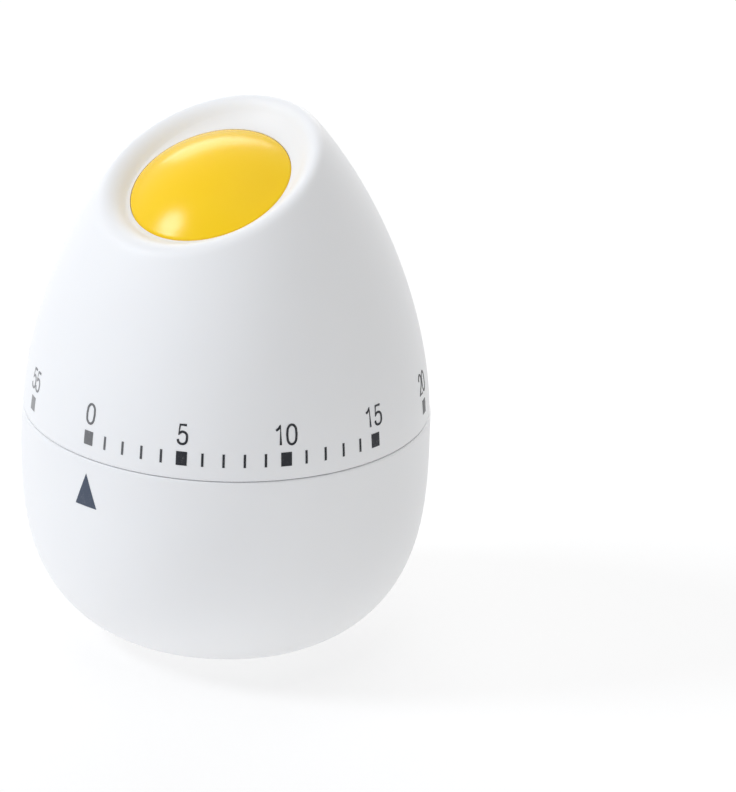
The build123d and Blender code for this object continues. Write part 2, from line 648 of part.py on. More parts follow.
# --- winding arbor: wound by the dial's hub, carries the spring, ratchet, stop and cam ---
pivot_bottom = LOWER_PLATE_Z - PLATE_THICKNESS
with BuildPart() as winding_arbor:
    with BuildSketch(Plane.XY.offset(pivot_bottom)):
        Circle(WINDING_PIVOT_RADIUS)
    extrude(amount=arbor_bottom - pivot_bottom)
    with BuildSketch(Plane.XY.offset(arbor_bottom)):
        Circle(WINDING_RADIUS)
    extrude(amount=WINDING_TOP - arbor_bottom)
    with BuildSketch(Plane.XY.offset(WINDING_TOP)):
        with Locations((0, WINDING_RADIUS - FLAT_DEPTH)):
            Rectangle(2 * WINDING_RADIUS, WINDING_RADIUS, align=(Align.CENTER, Align.MIN))
    extrude(amount=-HUB_GRIP - FLAT_RUNOUT, mode=Mode.SUBTRACT)

winding_arbor.part.label = "winding_arbor"
export_step(winding_arbor.part, "parts/winding_arbor.step")

# --- ratchet wheel: pressed on the winding arbor, its teeth push the click one way ---
ratchet_z = MAIN_WHEEL_Z + MAIN_THICKNESS + RATCHET_GAP
ratchet_points = []
for tooth in range(RATCHET_TEETH):
    face_angle = 360 * tooth / RATCHET_TEETH
    ratchet_points.append(polar(RATCHET_RADIUS, face_angle))
    ratchet_points.append(polar(RATCHET_RADIUS - RATCHET_DEPTH, face_angle))

with BuildPart() as ratchet_wheel:
    with BuildSketch(Plane.XY.offset(ratchet_z)):
        with BuildLine():
            Polyline(*ratchet_points, close=True)
        make_face()
        Circle(WINDING_RADIUS + FIT, mode=Mode.SUBTRACT)
    extrude(amount=RATCHET_THICKNESS)

ratchet_wheel.part.label = "ratchet_wheel"
export_step(ratchet_wheel.part, "parts/ratchet_wheel.step")

# --- mainspring: flat strip wound round the arbor, its outer end held by a post ---
spring_pitch = (SPRING_OUTER - SPRING_INNER) / SPRING_TURNS
spring_steps = SPRING_TURNS * SPRING_POINTS_PER_TURN
inner_edge = []
outer_edge = []
for step in range(spring_steps + 1):
    turns = step / SPRING_POINTS_PER_TURN
    edge_radius = SPRING_INNER + spring_pitch * turns
    edge_angle = SPRING_END_ANGLE - 360 * (SPRING_TURNS - turns)
    inner_edge.append(polar(edge_radius, edge_angle))
    outer_edge.append(polar(edge_radius + SPRING_STRIP, edge_angle))

with BuildPart() as mainspring:
    with BuildSketch(Plane.XY.offset(SPRING_BOTTOM)):
        with BuildLine():
            strip_inside = Spline(*inner_edge)
            strip_outside = Spline(*outer_edge)
            Line(strip_inside @ 0, strip_outside @ 0)
            Line(strip_inside @ 1, strip_outside @ 1)
        make_face()
    extrude(amount=SPRING_HEIGHT)

mainspring.part.label = "mainspring"
export_step(mainspring.part, "parts/mainspring.step")

# --- spring post: riveted into the upper plate, anchors the mainspring's outer end ---
with BuildPart() as spring_post:
    with BuildSketch(Plane.XY.offset(SPRING_BOTTOM)):
        with Locations(spring_post_centre):
            Circle(SPRING_POST_RADIUS)
    extrude(amount=UPPER_PLATE_TOP - SPRING_BOTTOM)

spring_post.part.label = "spring_post"
export_step(spring_post.part, "parts/spring_post.step")

# --- main wheel: turns freely on the arbor, driven through the click ---
# The click's frame: the held tooth's face lies along the +X bearing.
click_pivot = CLICK_PIVOT
with BuildPart() as main_wheel:
    with BuildSketch(Plane.XY.offset(MAIN_WHEEL_Z)):
        with BuildLine():
            Polyline(
                *gear_points(
                    MAIN_TEETH, main_module, WHEEL_ADDENDUM, PINION_ADDENDUM, SECOND_ANGLE, MIDDLE
                ),
                close=True,
            )
        make_face()
        Circle(WINDING_RADIUS + RUNNING, mode=Mode.SUBTRACT)
        with Locations(click_pivot):
            Circle(CLICK_RIVET_RADIUS + FIT, mode=Mode.SUBTRACT)
        with Locations(CLICK_SPRING_ANCHOR):
            Circle(CLICK_SPRING_RADIUS + FIT, mode=Mode.SUBTRACT)
    extrude(amount=MAIN_THICKNESS)

main_wheel.part.label = "main_wheel"
export_step(main_wheel.part, "parts/main_wheel.step")

# --- click: pawl that drops behind the ratchet's teeth ---
root_radius = RATCHET_RADIUS - RATCHET_DEPTH
with BuildPart() as click:
    with BuildSketch(Plane.XY.offset(ratchet_z)):
        with BuildLine():
            Polyline(
                (root_radius + CLICK_BEAK_GAP, CLICK_BEAK_SET),
                (RATCHET_RADIUS + CLICK_HEIGHT, CLICK_FACE_GAP),
                (RATCHET_RADIUS + CLICK_HEIGHT, 2 * CLICK_THICKNESS),
                (click_pivot[0] + CLICK_THICKNESS, click_pivot[1]),
                (click_pivot[0] - CLICK_THICKNESS, click_pivot[1]),
                (RATCHET_RADIUS + 2 * CLICK_BEAK_GAP, 2 * CLICK_THICKNESS),
                close=True,
            )
        make_face()
        with Locations(click_pivot):
            Circle(CLICK_EYE_RADIUS)
            Circle(CLICK_RIVET_RADIUS + RUNNING, mode=Mode.SUBTRACT)
    extrude(amount=RATCHET_THICKNESS)

click.part.label = "click"
export_step(click.part, "parts/click.step")

# --- click rivet: shouldered pin that the click swings on ---
with BuildPart() as click_rivet:
    with BuildSketch(Plane.XY.offset(MAIN_WHEEL_Z)):
        with Locations(click_pivot):
            Circle(CLICK_RIVET_RADIUS)
    extrude(amount=MAIN_THICKNESS + RATCHET_GAP + RATCHET_THICKNESS + RUNNING)
    with BuildSketch(Plane.XY.offset(ratchet_z + RATCHET_THICKNESS + RUNNING)):
        with Locations(click_pivot):
            Circle(CLICK_RIVET_HEAD)
    extrude(amount=CLICK_RIVET_HEAD_HEIGHT)

click_rivet.part.label = "click_rivet"
export_step(click_rivet.part, "parts/click_rivet.step")

# --- click spring: bent wire that keeps the click on the ratchet ---
click_spring_z = ratchet_z + RATCHET_THICKNESS / 2
with BuildPart() as click_spring:
    with BuildLine():
        spring_path = FilletPolyline(
            (*CLICK_SPRING_ANCHOR, MAIN_WHEEL_Z),
            (*CLICK_SPRING_ANCHOR, click_spring_z),
            (*CLICK_SPRING_TIP, click_spring_z),
            radius=3 * CLICK_SPRING_RADIUS,
        )
    with BuildSketch(Plane(origin=spring_path @ 0, z_dir=spring_path % 0)):
        Circle(CLICK_SPRING_RADIUS)
    sweep()

click_spring.part.label = "click_spring"
export_step(click_spring.part, "parts/click_spring.step")


# --- train: three arbors with cut pinions, each carrying a pressed-on wheel ---
def pinion_arbor(centre, module, wheel_z, driver_centre):
    """Arbor with pivots at both ends and a pinion in mesh with the driving wheel."""
    pinion = gear_points(
        PINION_TEETH,
        module,
        PINION_ADDENDUM,
        WHEEL_ADDENDUM,
        bearing(centre, driver_centre) + 180 / PINION_TEETH,
        centre,
    )
    with BuildPart() as arbor:
        with BuildSketch(Plane.XY.offset(LOWER_PLATE_Z)):
            with Locations(centre):
                Circle(PIVOT_RADIUS)
        extrude(amount=UPPER_PLATE_TOP - LOWER_PLATE_Z)
        with BuildSketch(Plane.XY.offset(arbor_bottom)):
            with Locations(centre):
                Circle(ARBOR_RADIUS)
        extrude(amount=arbor_top - arbor_bottom)
        with BuildSketch(Plane.XY.offset(wheel_z - PINION_OVERHANG)):
            with BuildLine():
                Polyline(*pinion, close=True)
            make_face()
        extrude(amount=MAIN_THICKNESS + 2 * PINION_OVERHANG)
    return arbor.part


def train_wheel(centre, module, teeth, wheel_z, driven_centre):
    """Toothed wheel with round windows, pressed on its arbor."""
    root = module * teeth / 2 - module
    window_radius = (root - ARBOR_RADIUS) / 4
    window_circle = (root + ARBOR_RADIUS) / 2
    outline = gear_points(
        teeth, module, WHEEL_ADDENDUM, PINION_ADDENDUM, bearing(centre, driven_centre), centre
    )
    with BuildPart() as wheel:
        with BuildSketch(Plane.XY.offset(wheel_z)):
            with BuildLine():
                Polyline(*outline, close=True)
            make_face()
            with Locations(centre):
                Circle(ARBOR_RADIUS + FIT, mode=Mode.SUBTRACT)
                with PolarLocations(window_circle, WINDOW_COUNT):
                    Circle(window_radius, mode=Mode.SUBTRACT)
        extrude(amount=WHEEL_THICKNESS)
    return wheel.part


second_arbor = pinion_arbor(second_centre, main_module, MAIN_WHEEL_Z, MIDDLE)
second_arbor.label = "second_arbor"
export_step(second_arbor, "parts/second_arbor.step")

second_wheel = train_wheel(second_centre, SECOND_MODULE, SECOND_TEETH, SECOND_WHEEL_Z, third_centre)
second_wheel.label = "second_wheel"
export_step(second_wheel, "parts/second_wheel.step")

third_arbor = pinion_arbor(third_centre, SECOND_MODULE, SECOND_WHEEL_Z, second_centre)
third_arbor.label = "third_arbor"
export_step(third_arbor, "parts/third_arbor.step")

third_wheel = train_wheel(third_centre, THIRD_MODULE, THIRD_TEETH, THIRD_WHEEL_Z, escape_centre)
third_wheel.label = "third_wheel"
export_step(third_wheel, "parts/third_wheel.step")

escape_arbor = pinion_arbor(escape_centre, THIRD_MODULE, THIRD_WHEEL_Z, third_centre)
escape_arbor.label = "escape_arbor"
export_step(escape_arbor, "parts/escape_arbor.step")

# --- escape wheel: pointed teeth, let past one at a time by the pallet pins ---
escape_root = ESCAPE_RADIUS - ESCAPE_TOOTH_DEPTH
tooth_phase = bearing(escape_centre, pallet_centre)
root_half_angle = math.degrees(ESCAPE_TOOTH_ROOT / escape_root)
escape_points = []
for tooth in range(ESCAPE_TEETH):
    tip_angle = tooth_phase + 360 * tooth / ESCAPE_TEETH
    escape_points.append(polar(escape_root, tip_angle - root_half_angle, escape_centre))
    escape_points.append(polar(ESCAPE_RADIUS, tip_angle, escape_centre))
    escape_points.append(polar(escape_root, tip_angle + root_half_angle, escape_centre))

with BuildPart() as escape_wheel:
    with BuildSketch(Plane.XY.offset(ESCAPE_WHEEL_Z)):
        with BuildLine():
            Polyline(*escape_points, close=True)
        make_face()
        with Locations(escape_centre):
            Circle(ARBOR_RADIUS + FIT, mode=Mode.SUBTRACT)
    extrude(amount=WHEEL_THICKNESS)

escape_wheel.part.label = "escape_wheel"
export_step(escape_wheel.part, "parts/escape_wheel.step")

# --- pallet arbor and lever: two pins catch the escape wheel, the tail gives it weight ---
with BuildPart() as pallet_arbor:
    with BuildSketch(Plane.XY.offset(LOWER_PLATE_Z)):
        with Locations(pallet_centre):
            Circle(PIVOT_RADIUS)
    extrude(amount=UPPER_PLATE_TOP - LOWER_PLATE_Z)
    with BuildSketch(Plane.XY.offset(arbor_bottom)):
        with Locations(pallet_centre):
            Circle(ARBOR_RADIUS)
    extrude(amount=arbor_top - arbor_bottom)

pallet_arbor.part.label = "pallet_arbor"
export_step(pallet_arbor.part, "parts/pallet_arbor.step")

to_escape = bearing(pallet_centre, escape_centre)
pin_centres = [
    polar(pin_circle, tooth_phase + side * pallet_half_span, escape_centre) for side in (-1, 1)
]
pallet_z = ESCAPE_WHEEL_Z - PALLET_THICKNESS - DECK_GAP
balance_centre = polar(BALANCE_REACH, to_escape + 180, pallet_centre)
with BuildPart() as pallet_lever:
    with BuildSketch(Plane.XY.offset(pallet_z)):
        with Locations(pallet_centre):
            Circle(PALLET_HUB_RADIUS)
        for pin in pin_centres:
            arm_place = Location((*middle_of(pin, pallet_centre), 0), bearing(pallet_centre, pin))
            with Locations(arm_place):
                SlotCenterToCenter(pallet_reach, 2 * PALLET_ARM_RADIUS)
        with Locations(Location((*pallet_centre, 0), to_escape + 180)):
            Rectangle(
                BALANCE_REACH, 2 * PALLET_ARM_RADIUS, align=(Align.MIN, Align.CENTER)
            )
        with Locations(balance_centre):
            Circle(BALANCE_RADIUS)
        with Locations(pallet_centre):
            Circle(ARBOR_RADIUS + FIT, mode=Mode.SUBTRACT)
    extrude(amount=PALLET_THICKNESS)
    with BuildSketch(Plane.XY.offset(pallet_z + PALLET_THICKNESS)):
        with Locations(*pin_centres):
            Circle(PALLET_PIN_RADIUS)
    extrude(amount=WHEEL_THICKNESS + 2 * DECK_GAP)

pallet_lever.part.label = "pallet_lever"
export_step(pallet_lever.part, "parts/pallet_lever.step")

# --- stop finger and stop pin: hold the dial to one turn ---
finger_half_width = (
    STOP_CIRCLE * math.sin(math.radians(STOP_SHARE)) - STOP_PIN_RADIUS - STOP_CLEARANCE
)
with BuildPart() as stop_finger:
    with BuildSketch(Plane.XY.offset(stop_z)):
        Circle(COLLAR_RADIUS)
        with Locations(Location((0, 0, 0), STOP_ANGLE - STOP_SHARE)):
            Rectangle(
                STOP_FINGER_LENGTH, 2 * finger_half_width, align=(Align.MIN, Align.CENTER)
            )
        Circle(WINDING_RADIUS + FIT, mode=Mode.SUBTRACT)
    extrude(amount=STOP_THICKNESS)

stop_finger.part.label = "stop_finger"
export_step(stop_finger.part, "parts/stop_finger.step")

with BuildPart() as stop_pin:
    with BuildSketch(Plane.XY.offset(UPPER_PLATE_Z)):
        with Locations(stop_centre):
            Circle(STOP_PIN_RADIUS)
    extrude(amount=PLATE_THICKNESS + DECK_GAP + STOP_THICKNESS)

stop_pin.part.label = "stop_pin"
export_step(stop_pin.part, "parts/stop_pin.step")

# --- trip cam: its notch lets the trip lever drop when the time has run out ---
with BuildPart() as trip_cam:
    with BuildSketch(Plane.XY.offset(cam_z)):
        Circle(CAM_RADIUS)
        with Locations(Location((0, 0, 0), NOSE_ANGLE)):
            with Locations((CAM_RADIUS - NOTCH_DEPTH, 0)):
                Rectangle(
                    CAM_RADIUS,
                    2 * NOTCH_HALF_WIDTH,
                    align=(Align.MIN, Align.CENTER),
                    mode=Mode.SUBTRACT,
                )
        Circle(WINDING_RADIUS + FIT, mode=Mode.SUBTRACT)
    extrude(amount=CAM_THICKNESS)

trip_cam.part.label = "trip_cam"
export_step(trip_cam.part, "parts/trip_cam.step")

# --- trip lever: its nose rides the cam, its tail frees the hammer ---
lever_direction = bearing(bar_end, tail_centre)
lever_middle = middle_of(bar_end, tail_centre)
nose_middle = middle_of(bar_end, nose_centre)
with BuildPart() as trip_lever:
    with BuildSketch(Plane.XY.offset(cam_z)):
        with Locations(Location((*lever_middle, 0), lever_direction)):
            SlotCenterToCenter(LEVER_REACH + LEVER_TAIL, 2 * LEVER_HALF_WIDTH)
        with Locations(Location((*nose_middle, 0), NOSE_ANGLE)):
            SlotCenterToCenter(NOSE_LENGTH, 2 * NOSE_RADIUS)
        with Locations(lever_centre):
            Circle(LEVER_EYE_RADIUS)
            Circle(LEVER_POST_RADIUS + RUNNING, mode=Mode.SUBTRACT)
    extrude(amount=CAM_THICKNESS)

trip_lever.part.label = "trip_lever"
export_step(trip_lever.part, "parts/trip_lever.step")

# --- lever post: shouldered stud riveted into the upper plate ---
with BuildPart() as lever_post:
    with BuildSketch(Plane.XY.offset(UPPER_PLATE_Z)):
        with Locations(lever_centre):
            Circle(LEVER_POST_RADIUS)
    extrude(amount=cam_z + CAM_THICKNESS + RUNNING - UPPER_PLATE_Z)
    with BuildSketch(Plane.XY.offset(UPPER_PLATE_TOP)):
        with Locations(lever_centre):
            Circle(LEVER_POST_HEAD)
    extrude(amount=cam_z - UPPER_PLATE_TOP - RUNNING)
    with BuildSketch(Plane.XY.offset(cam_z + CAM_THICKNESS + RUNNING)):
        with Locations(lever_centre):
            Circle(LEVER_POST_HEAD)
    extrude(amount=LEVER_POST_HEAD_HEIGHT)

lever_post.part.label = "lever_post"
export_step(lever_post.part, "parts/lever_post.step")

# --- heights of the bell's rim and of the hammer that strikes it ---
hammer_arm_z = LOWER_PLATE_Z - HAMMER_ARM_DROP - HAMMER_ARM_THICKNESS
bell_rim = hammer_arm_z - BELL_RIM_GAP

# --- hammer arbor: stands through both plates, the hammer below and its tail above ---
with BuildPart() as hammer_arbor:
    with BuildSketch(Plane.XY.offset(hammer_arm_z)):
        with Locations(hammer_centre):
            Circle(ARBOR_RADIUS)
    extrude(amount=cam_z + CAM_THICKNESS - hammer_arm_z)

hammer_arbor.part.label = "hammer_arbor"
export_step(hammer_arbor.part, "parts/hammer_arbor.step")

# --- hammer: arm with a hanging head that strikes the bell's rim from inside ---
head_circle = bell_radius - BELL_WALL - HAMMER_HEAD_RADIUS - HAMMER_REST_GAP
hammer_direction = (
    HAMMER_ANGLE + 180 + angle_between(hammer_circle, HAMMER_REACH, head_circle)
)
head_centre = polar(HAMMER_REACH, hammer_direction, hammer_centre)
arm_middle = polar(HAMMER_REACH / 2, hammer_direction, hammer_centre)
with BuildPart() as hammer:
    with BuildSketch(Plane.XY.offset(hammer_arm_z)):
        with Locations(Location((*arm_middle, 0), hammer_direction)):
            SlotCenterToCenter(HAMMER_REACH, 2 * HAMMER_ARM_HALF_WIDTH)
        with Locations(hammer_centre):
            Circle(HAMMER_ARM_HALF_WIDTH + HAMMER_ARM_THICKNESS)
            Circle(ARBOR_RADIUS + FIT, mode=Mode.SUBTRACT)
    extrude(amount=HAMMER_ARM_THICKNESS)
    with BuildSketch(Plane.XY.offset(hammer_arm_z)):
        with Locations(head_centre):
            Circle(HAMMER_HEAD_RADIUS)
    extrude(amount=-BELL_RIM_GAP - HAMMER_HEAD_DIP)

hammer.part.label = "hammer"
export_step(hammer.part, "parts/hammer.step")

# --- hammer tail: held by the trip lever until the lever drops ---
tail_direction = bearing(hammer_centre, tail_centre)
tail_reach = math.dist(hammer_centre, tail_centre) - LEVER_HALF_WIDTH - HAMMER_TAIL_GAP
with BuildPart() as hammer_tail:
    with BuildSketch(Plane.XY.offset(cam_z)):
        with Locations(hammer_centre):
            Circle(HAMMER_ARM_HALF_WIDTH + HAMMER_ARM_THICKNESS)
        with Locations(Location((*hammer_centre, 0), tail_direction)):
            Rectangle(
                tail_reach, 2 * HAMMER_ARM_HALF_WIDTH, align=(Align.MIN, Align.CENTER)
            )
        with Locations(hammer_centre):
            Circle(ARBOR_RADIUS + FIT, mode=Mode.SUBTRACT)
    extrude(amount=CAM_THICKNESS)

hammer_tail.part.label = "hammer_tail"
export_step(hammer_tail.part, "parts/hammer_tail.step")

# --- hammer spring: coil round the arbor that pulls the hammer back ---
coil_bottom = arbor_bottom + HAMMER_SPRING_WIRE
with BuildPart() as hammer_spring:
    with BuildLine():
        coil = Helix(
            HAMMER_SPRING_PITCH,
            HAMMER_SPRING_PITCH * HAMMER_SPRING_TURNS,
            HAMMER_SPRING_RADIUS,
            center=(*hammer_centre, coil_bottom),
        )
    with BuildSketch(Plane(origin=coil @ 0, z_dir=coil % 0)):
        Circle(HAMMER_SPRING_WIRE)
    sweep(is_frenet=True)

hammer_spring.part.label = "hammer_spring"
export_step(hammer_spring.part, "parts/hammer_spring.step")

# --- bell: steel cup, open towards the movement ---
with BuildPart() as bell:
    with BuildSketch(Plane.XY.offset(BELL_BOTTOM)):
        Circle(bell_radius)
    extrude(amount=bell_rim - BELL_BOTTOM)
    fillet(bell.edges().group_by(Axis.Z)[0], BELL_FILLET)
    offset(amount=-BELL_WALL, openings=bell.faces().sort_by(Axis.Z)[-1])
    with Locations((0, 0, BELL_BOTTOM + BELL_WALL)):
        Hole(BELL_SCREW_RADIUS + RUNNING, depth=BELL_WALL)

bell.part.label = "bell"
export_step(bell.part, "parts/bell.step")

# --- bell post: riveted into the lower plate, bearing for the arbor above, thread below ---
with BuildPart() as bell_post:
    post_bottom = BELL_BOTTOM + BELL_WALL
    with BuildSketch(Plane.XY.offset(post_bottom)):
        Circle(BELL_POST_RADIUS)
    extrude(amount=LOWER_PLATE_Z - post_bottom)
    with BuildSketch(Plane.XY.offset(LOWER_PLATE_Z)):
        Circle(BELL_SPIGOT_RADIUS)
    extrude(amount=PLATE_THICKNESS)
    with Locations((0, 0, LOWER_PLATE_TOP)):
        Hole(WINDING_PIVOT_RADIUS + RUNNING, depth=2 * PLATE_THICKNESS + RUNNING)
    with BuildSketch(Plane.XY.offset(post_bottom)):
        Circle(BELL_SCREW_RADIUS + FIT)
    extrude(amount=BELL_SCREW_LENGTH, mode=Mode.SUBTRACT)

bell_post.part.label = "bell_post"
export_step(bell_post.part, "parts/bell_post.step")

# --- bell screw: clamps the bell to its post from below ---
with BuildPart() as bell_screw:
    with BuildSketch(Plane.XY.offset(BELL_BOTTOM)):
        Circle(BELL_SCREW_RADIUS)
    extrude(amount=BELL_SCREW_LENGTH)
    with BuildSketch(Plane.XY.offset(BELL_BOTTOM)):
        Circle(BELL_SCREW_HEAD)
    extrude(amount=-BELL_SCREW_HEAD_HEIGHT)
    with BuildSketch(Plane.XY.offset(BELL_BOTTOM - BELL_SCREW_HEAD_HEIGHT)):
        Rectangle(2 * BELL_SCREW_HEAD, DRIVER_SLOT)
    extrude(amount=SLOT_DEPTH, mode=Mode.SUBTRACT)

bell_screw.part.label = "bell_screw"
export_step(bell_screw.part, "parts/bell_screw.step")
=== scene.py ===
import math

import bmesh
import bpy
from mathutils import Matrix, Vector


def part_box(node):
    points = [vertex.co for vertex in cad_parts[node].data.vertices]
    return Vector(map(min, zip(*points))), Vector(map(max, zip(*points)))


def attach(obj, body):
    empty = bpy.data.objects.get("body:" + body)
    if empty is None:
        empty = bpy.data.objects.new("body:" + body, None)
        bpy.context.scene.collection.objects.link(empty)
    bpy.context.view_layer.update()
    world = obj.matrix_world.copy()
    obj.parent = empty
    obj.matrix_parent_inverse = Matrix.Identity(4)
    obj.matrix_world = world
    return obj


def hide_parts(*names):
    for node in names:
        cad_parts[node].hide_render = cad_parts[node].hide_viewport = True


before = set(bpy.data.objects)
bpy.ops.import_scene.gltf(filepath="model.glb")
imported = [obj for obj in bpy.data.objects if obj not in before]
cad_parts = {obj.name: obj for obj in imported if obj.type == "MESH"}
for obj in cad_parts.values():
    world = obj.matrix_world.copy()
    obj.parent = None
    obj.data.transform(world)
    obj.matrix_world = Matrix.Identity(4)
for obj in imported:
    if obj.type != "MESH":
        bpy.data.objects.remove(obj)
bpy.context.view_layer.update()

MM = 0.001

# --- Movement plates, pillars, nuts and screws ---
# Two zinc-plated sheet steel plates, blanked and brushed, with turned steel pillars riveted
# between them. Brass nuts close the stack, and three slotted screws hold it on the base's bosses.
PLATE_COLOUR = (0.62, 0.63, 0.64, 1)
TURNED_COLOUR = (0.52, 0.53, 0.55, 1)
BRASS_COLOUR = (0.70, 0.46, 0.16, 1)
BRUSH_PITCH = 0.25 * MM
LATHE_PITCH = 0.12 * MM
TARNISH_SIZE = 4 * MM


class Link:
    """One output of a shader node: sums on it add Math nodes, and node() adds any other node."""

    def __init__(self, tree, socket=None):
        self.tree = tree
        self.socket = socket

    def node(self, kind, settings=None, inputs=None, output=0):
        """Adds a node, with its settings first and then its inputs' values or links."""
        made = self.tree.nodes.new("ShaderNode" + kind)
        for name, value in (settings or {}).items():
            if name == "stops":
                ramp = made.color_ramp
                for stop, (place, colour) in zip((ramp.elements[0], ramp.elements[1]), value):
                    stop.position = place
                    stop.color = colour
                for place, colour in value[2:]:
                    ramp.elements.new(place).color = colour
            else:
                setattr(made, name, value)
        for name, value in (inputs or {}).items():
            if isinstance(value, Link):
                self.tree.links.new(value.socket, made.inputs[name])
            else:
                made.inputs[name].default_value = value
        return Link(self.tree, made.outputs[output] if made.outputs else None)

    def maths(self, operation, first, second):
        return self.node("Math", {"operation": operation}, {0: first, 1: second})

    def __add__(self, other):
        return self.maths("ADD", self, other)

    def __sub__(self, other):
        return self.maths("SUBTRACT", self, other)

    def __rsub__(self, other):
        return self.maths("SUBTRACT", other, self)

    def __mul__(self, other):
        return self.maths("MULTIPLY", self, other)

    __radd__ = __add__
    __rmul__ = __mul__


def begin_finish(name):
    """A new material, and the link that its nodes are grown from."""
    material = bpy.data.materials.new(name)
    material.use_nodes = True
    material.node_tree.nodes.clear()
    return material, Link(material.node_tree)


def end_finish(start, inputs):
    """Closes a material with its shader."""
    shader = start.node("BsdfPrincipled", {}, inputs)
    start.node("OutputMaterial", {}, {"Surface": shader})


def object_place(start, centre=(0, 0, 0), scale=(1, 1, 1)):
    """Points of the piece in metres, from a centre and stretched along each axis."""
    place = start.node("TexCoord", output="Object")
    shift = [-c * s for c, s in zip(centre, scale)]
    return start.node("Mapping", {}, {"Vector": place, "Location": shift, "Scale": scale})


def noise(start, place, size, detail=3.0, output="Fac"):
    """Soft random value whose blotches are about size metres across."""
    return start.node(
        "TexNoise", {}, {"Vector": place, "Scale": 1 / size, "Detail": detail}, output
    )


def blend_colour(start, factor, first, second):
    """Colour between two, by a factor from 0 to 1."""
    return start.node(
        "Mix", {"data_type": "RGBA"}, {0: factor, 6: first, 7: second}, output=2
    )


def shaded(colour, factor):
    """The same colour, lighter or darker."""
    return tuple(min(1, c * factor) for c in colour[:3]) + (1,)


def brushed_finish(name, colour, roughness, pitch=BRUSH_PITCH):
    """Metal with long straight brush lines along X, and faint clouding."""
    material, start = begin_finish(name)
    stretched = object_place(start, scale=(0.04, 1, 1))
    lines = noise(start, stretched, pitch, 4.0)
    clouds = noise(start, object_place(start), TARNISH_SIZE)
    bump = start.node("Bump", {}, {"Strength": 0.25, "Distance": 0.01 * MM, "Height": lines})
    end_finish(start, {
        "Base Color": blend_colour(start, clouds, shaded(colour, 0.82), shaded(colour, 1.1)),
        "Metallic": 1.0,
        "Roughness": roughness + (lines - 0.5) * 0.25,
        "Normal": bump,
    })
    return material


def turned_finish(name, colour, roughness, node, pitch=LATHE_PITCH):
    """Metal turned in a lathe: fine rings round the piece's own middle."""
    low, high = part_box(node)
    centre = tuple((low + high) / 2)
    material, start = begin_finish(name)
    place = object_place(start, centre)
    across = start.node("VectorMath", {"operation": "MULTIPLY"}, {0: place, 1: (1, 1, 0)})
    radius = start.node("VectorMath", {"operation": "LENGTH"}, {0: across}, output="Value")
    apart = start.node("SeparateXYZ", {}, {0: place}, output="Z")
    rings = start.node("CombineXYZ", {}, {"X": radius, "Y": apart})
    lines = noise(start, rings, pitch, 2.0)
    clouds = noise(start, place, TARNISH_SIZE)
    bump = start.node("Bump", {}, {"Strength": 0.2, "Distance": 0.01 * MM, "Height": lines})
    end_finish(start, {
        "Base Color": blend_colour(start, clouds, shaded(colour, 0.85), shaded(colour, 1.12)),
        "Metallic": 1.0,
        "Roughness": roughness + (lines - 0.5) * 0.2,
        "Normal": bump,
    })
    return material


def dress(finish, *nodes):
    """Gives a finish to CAD nodes that keep their own shape."""
    for node in nodes:
        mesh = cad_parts[node].data
        mesh.materials.clear()
        mesh.materials.append(finish)


def dress_turned(colour, roughness, *nodes):
    """Gives each of some CAD nodes a turned finish of its own."""
    for node in nodes:
        dress(turned_finish(node + "_turned", colour, roughness, node), node)


dress(brushed_finish("plate_brushed", PLATE_COLOUR, 0.34), "lower_plate", "upper_plate")
dress_turned(TURNED_COLOUR, 0.28, "plate_pillars", "movement_screws")
dress_turned(BRASS_COLOUR, 0.3, "pillar_nuts")

# --- Winding arbor, ratchet, click and mainspring ---
# The steel arbor is pressed into the dial's hub. Its ratchet slips past the click while the
# dial is wound, and a blued steel strip, hooked to a post, drives it back.
BLUED_COLOUR = (0.035, 0.055, 0.13, 1)
STRAW_COLOUR = (0.19, 0.13, 0.09, 1)


def blued_finish(name, straw_share):
    """Tempered spring steel: dark blue, with straw and purple where it was heated less."""
    material, start = begin_finish(name)
    place = object_place(start)
    heat = noise(start, place, 5 * MM, 2.0)
    grain = noise(start, object_place(start, scale=(1, 1, 0.1)), 0.15 * MM)
    tint = start.node("ValToRGB", {"stops": (
        (straw_share, STRAW_COLOUR),
        (straw_share + 0.22, BLUED_COLOUR),
    )}, {"Fac": heat})
    bump = start.node("Bump", {}, {"Strength": 0.15, "Distance": 0.01 * MM, "Height": grain})
    end_finish(start, {
        "Base Color": tint,
        "Metallic": 1.0,
        "Roughness": 0.24 + grain * 0.16,
        "Normal": bump,
    })
    return material


dress_turned(TURNED_COLOUR, 0.26, "winding_arbor", "ratchet_wheel", "click", "spring_post")
dress_turned(BRASS_COLOUR, 0.3, "click_rivet")
dress(blued_finish("spring_blued", 0.3), "mainspring", "click_spring")

# --- Going train and escapement ---
# Brass wheels are blanked and cut, then pressed on steel arbors with cut pinions. A steel pin
# lever rocks over the last wheel and lets the movement run down at an even pace.
dress_turned(
    BRASS_COLOUR, 0.27,
    "main_wheel", "second_wheel", "third_wheel", "escape_wheel", "pallet_lever",
)
dress_turned(TURNED_COLOUR, 0.22, "second_arbor", "third_arbor", "escape_arbor", "pallet_arbor")

# --- Stop, trip cam and trip lever ---
# An acetal cam on the arbor holds the lever out until the dial is back at zero, where the lever
# drops in its notch. A steel finger meets a pin at either end of the turn.
ACETAL_COLOUR = (0.79, 0.77, 0.70, 1)


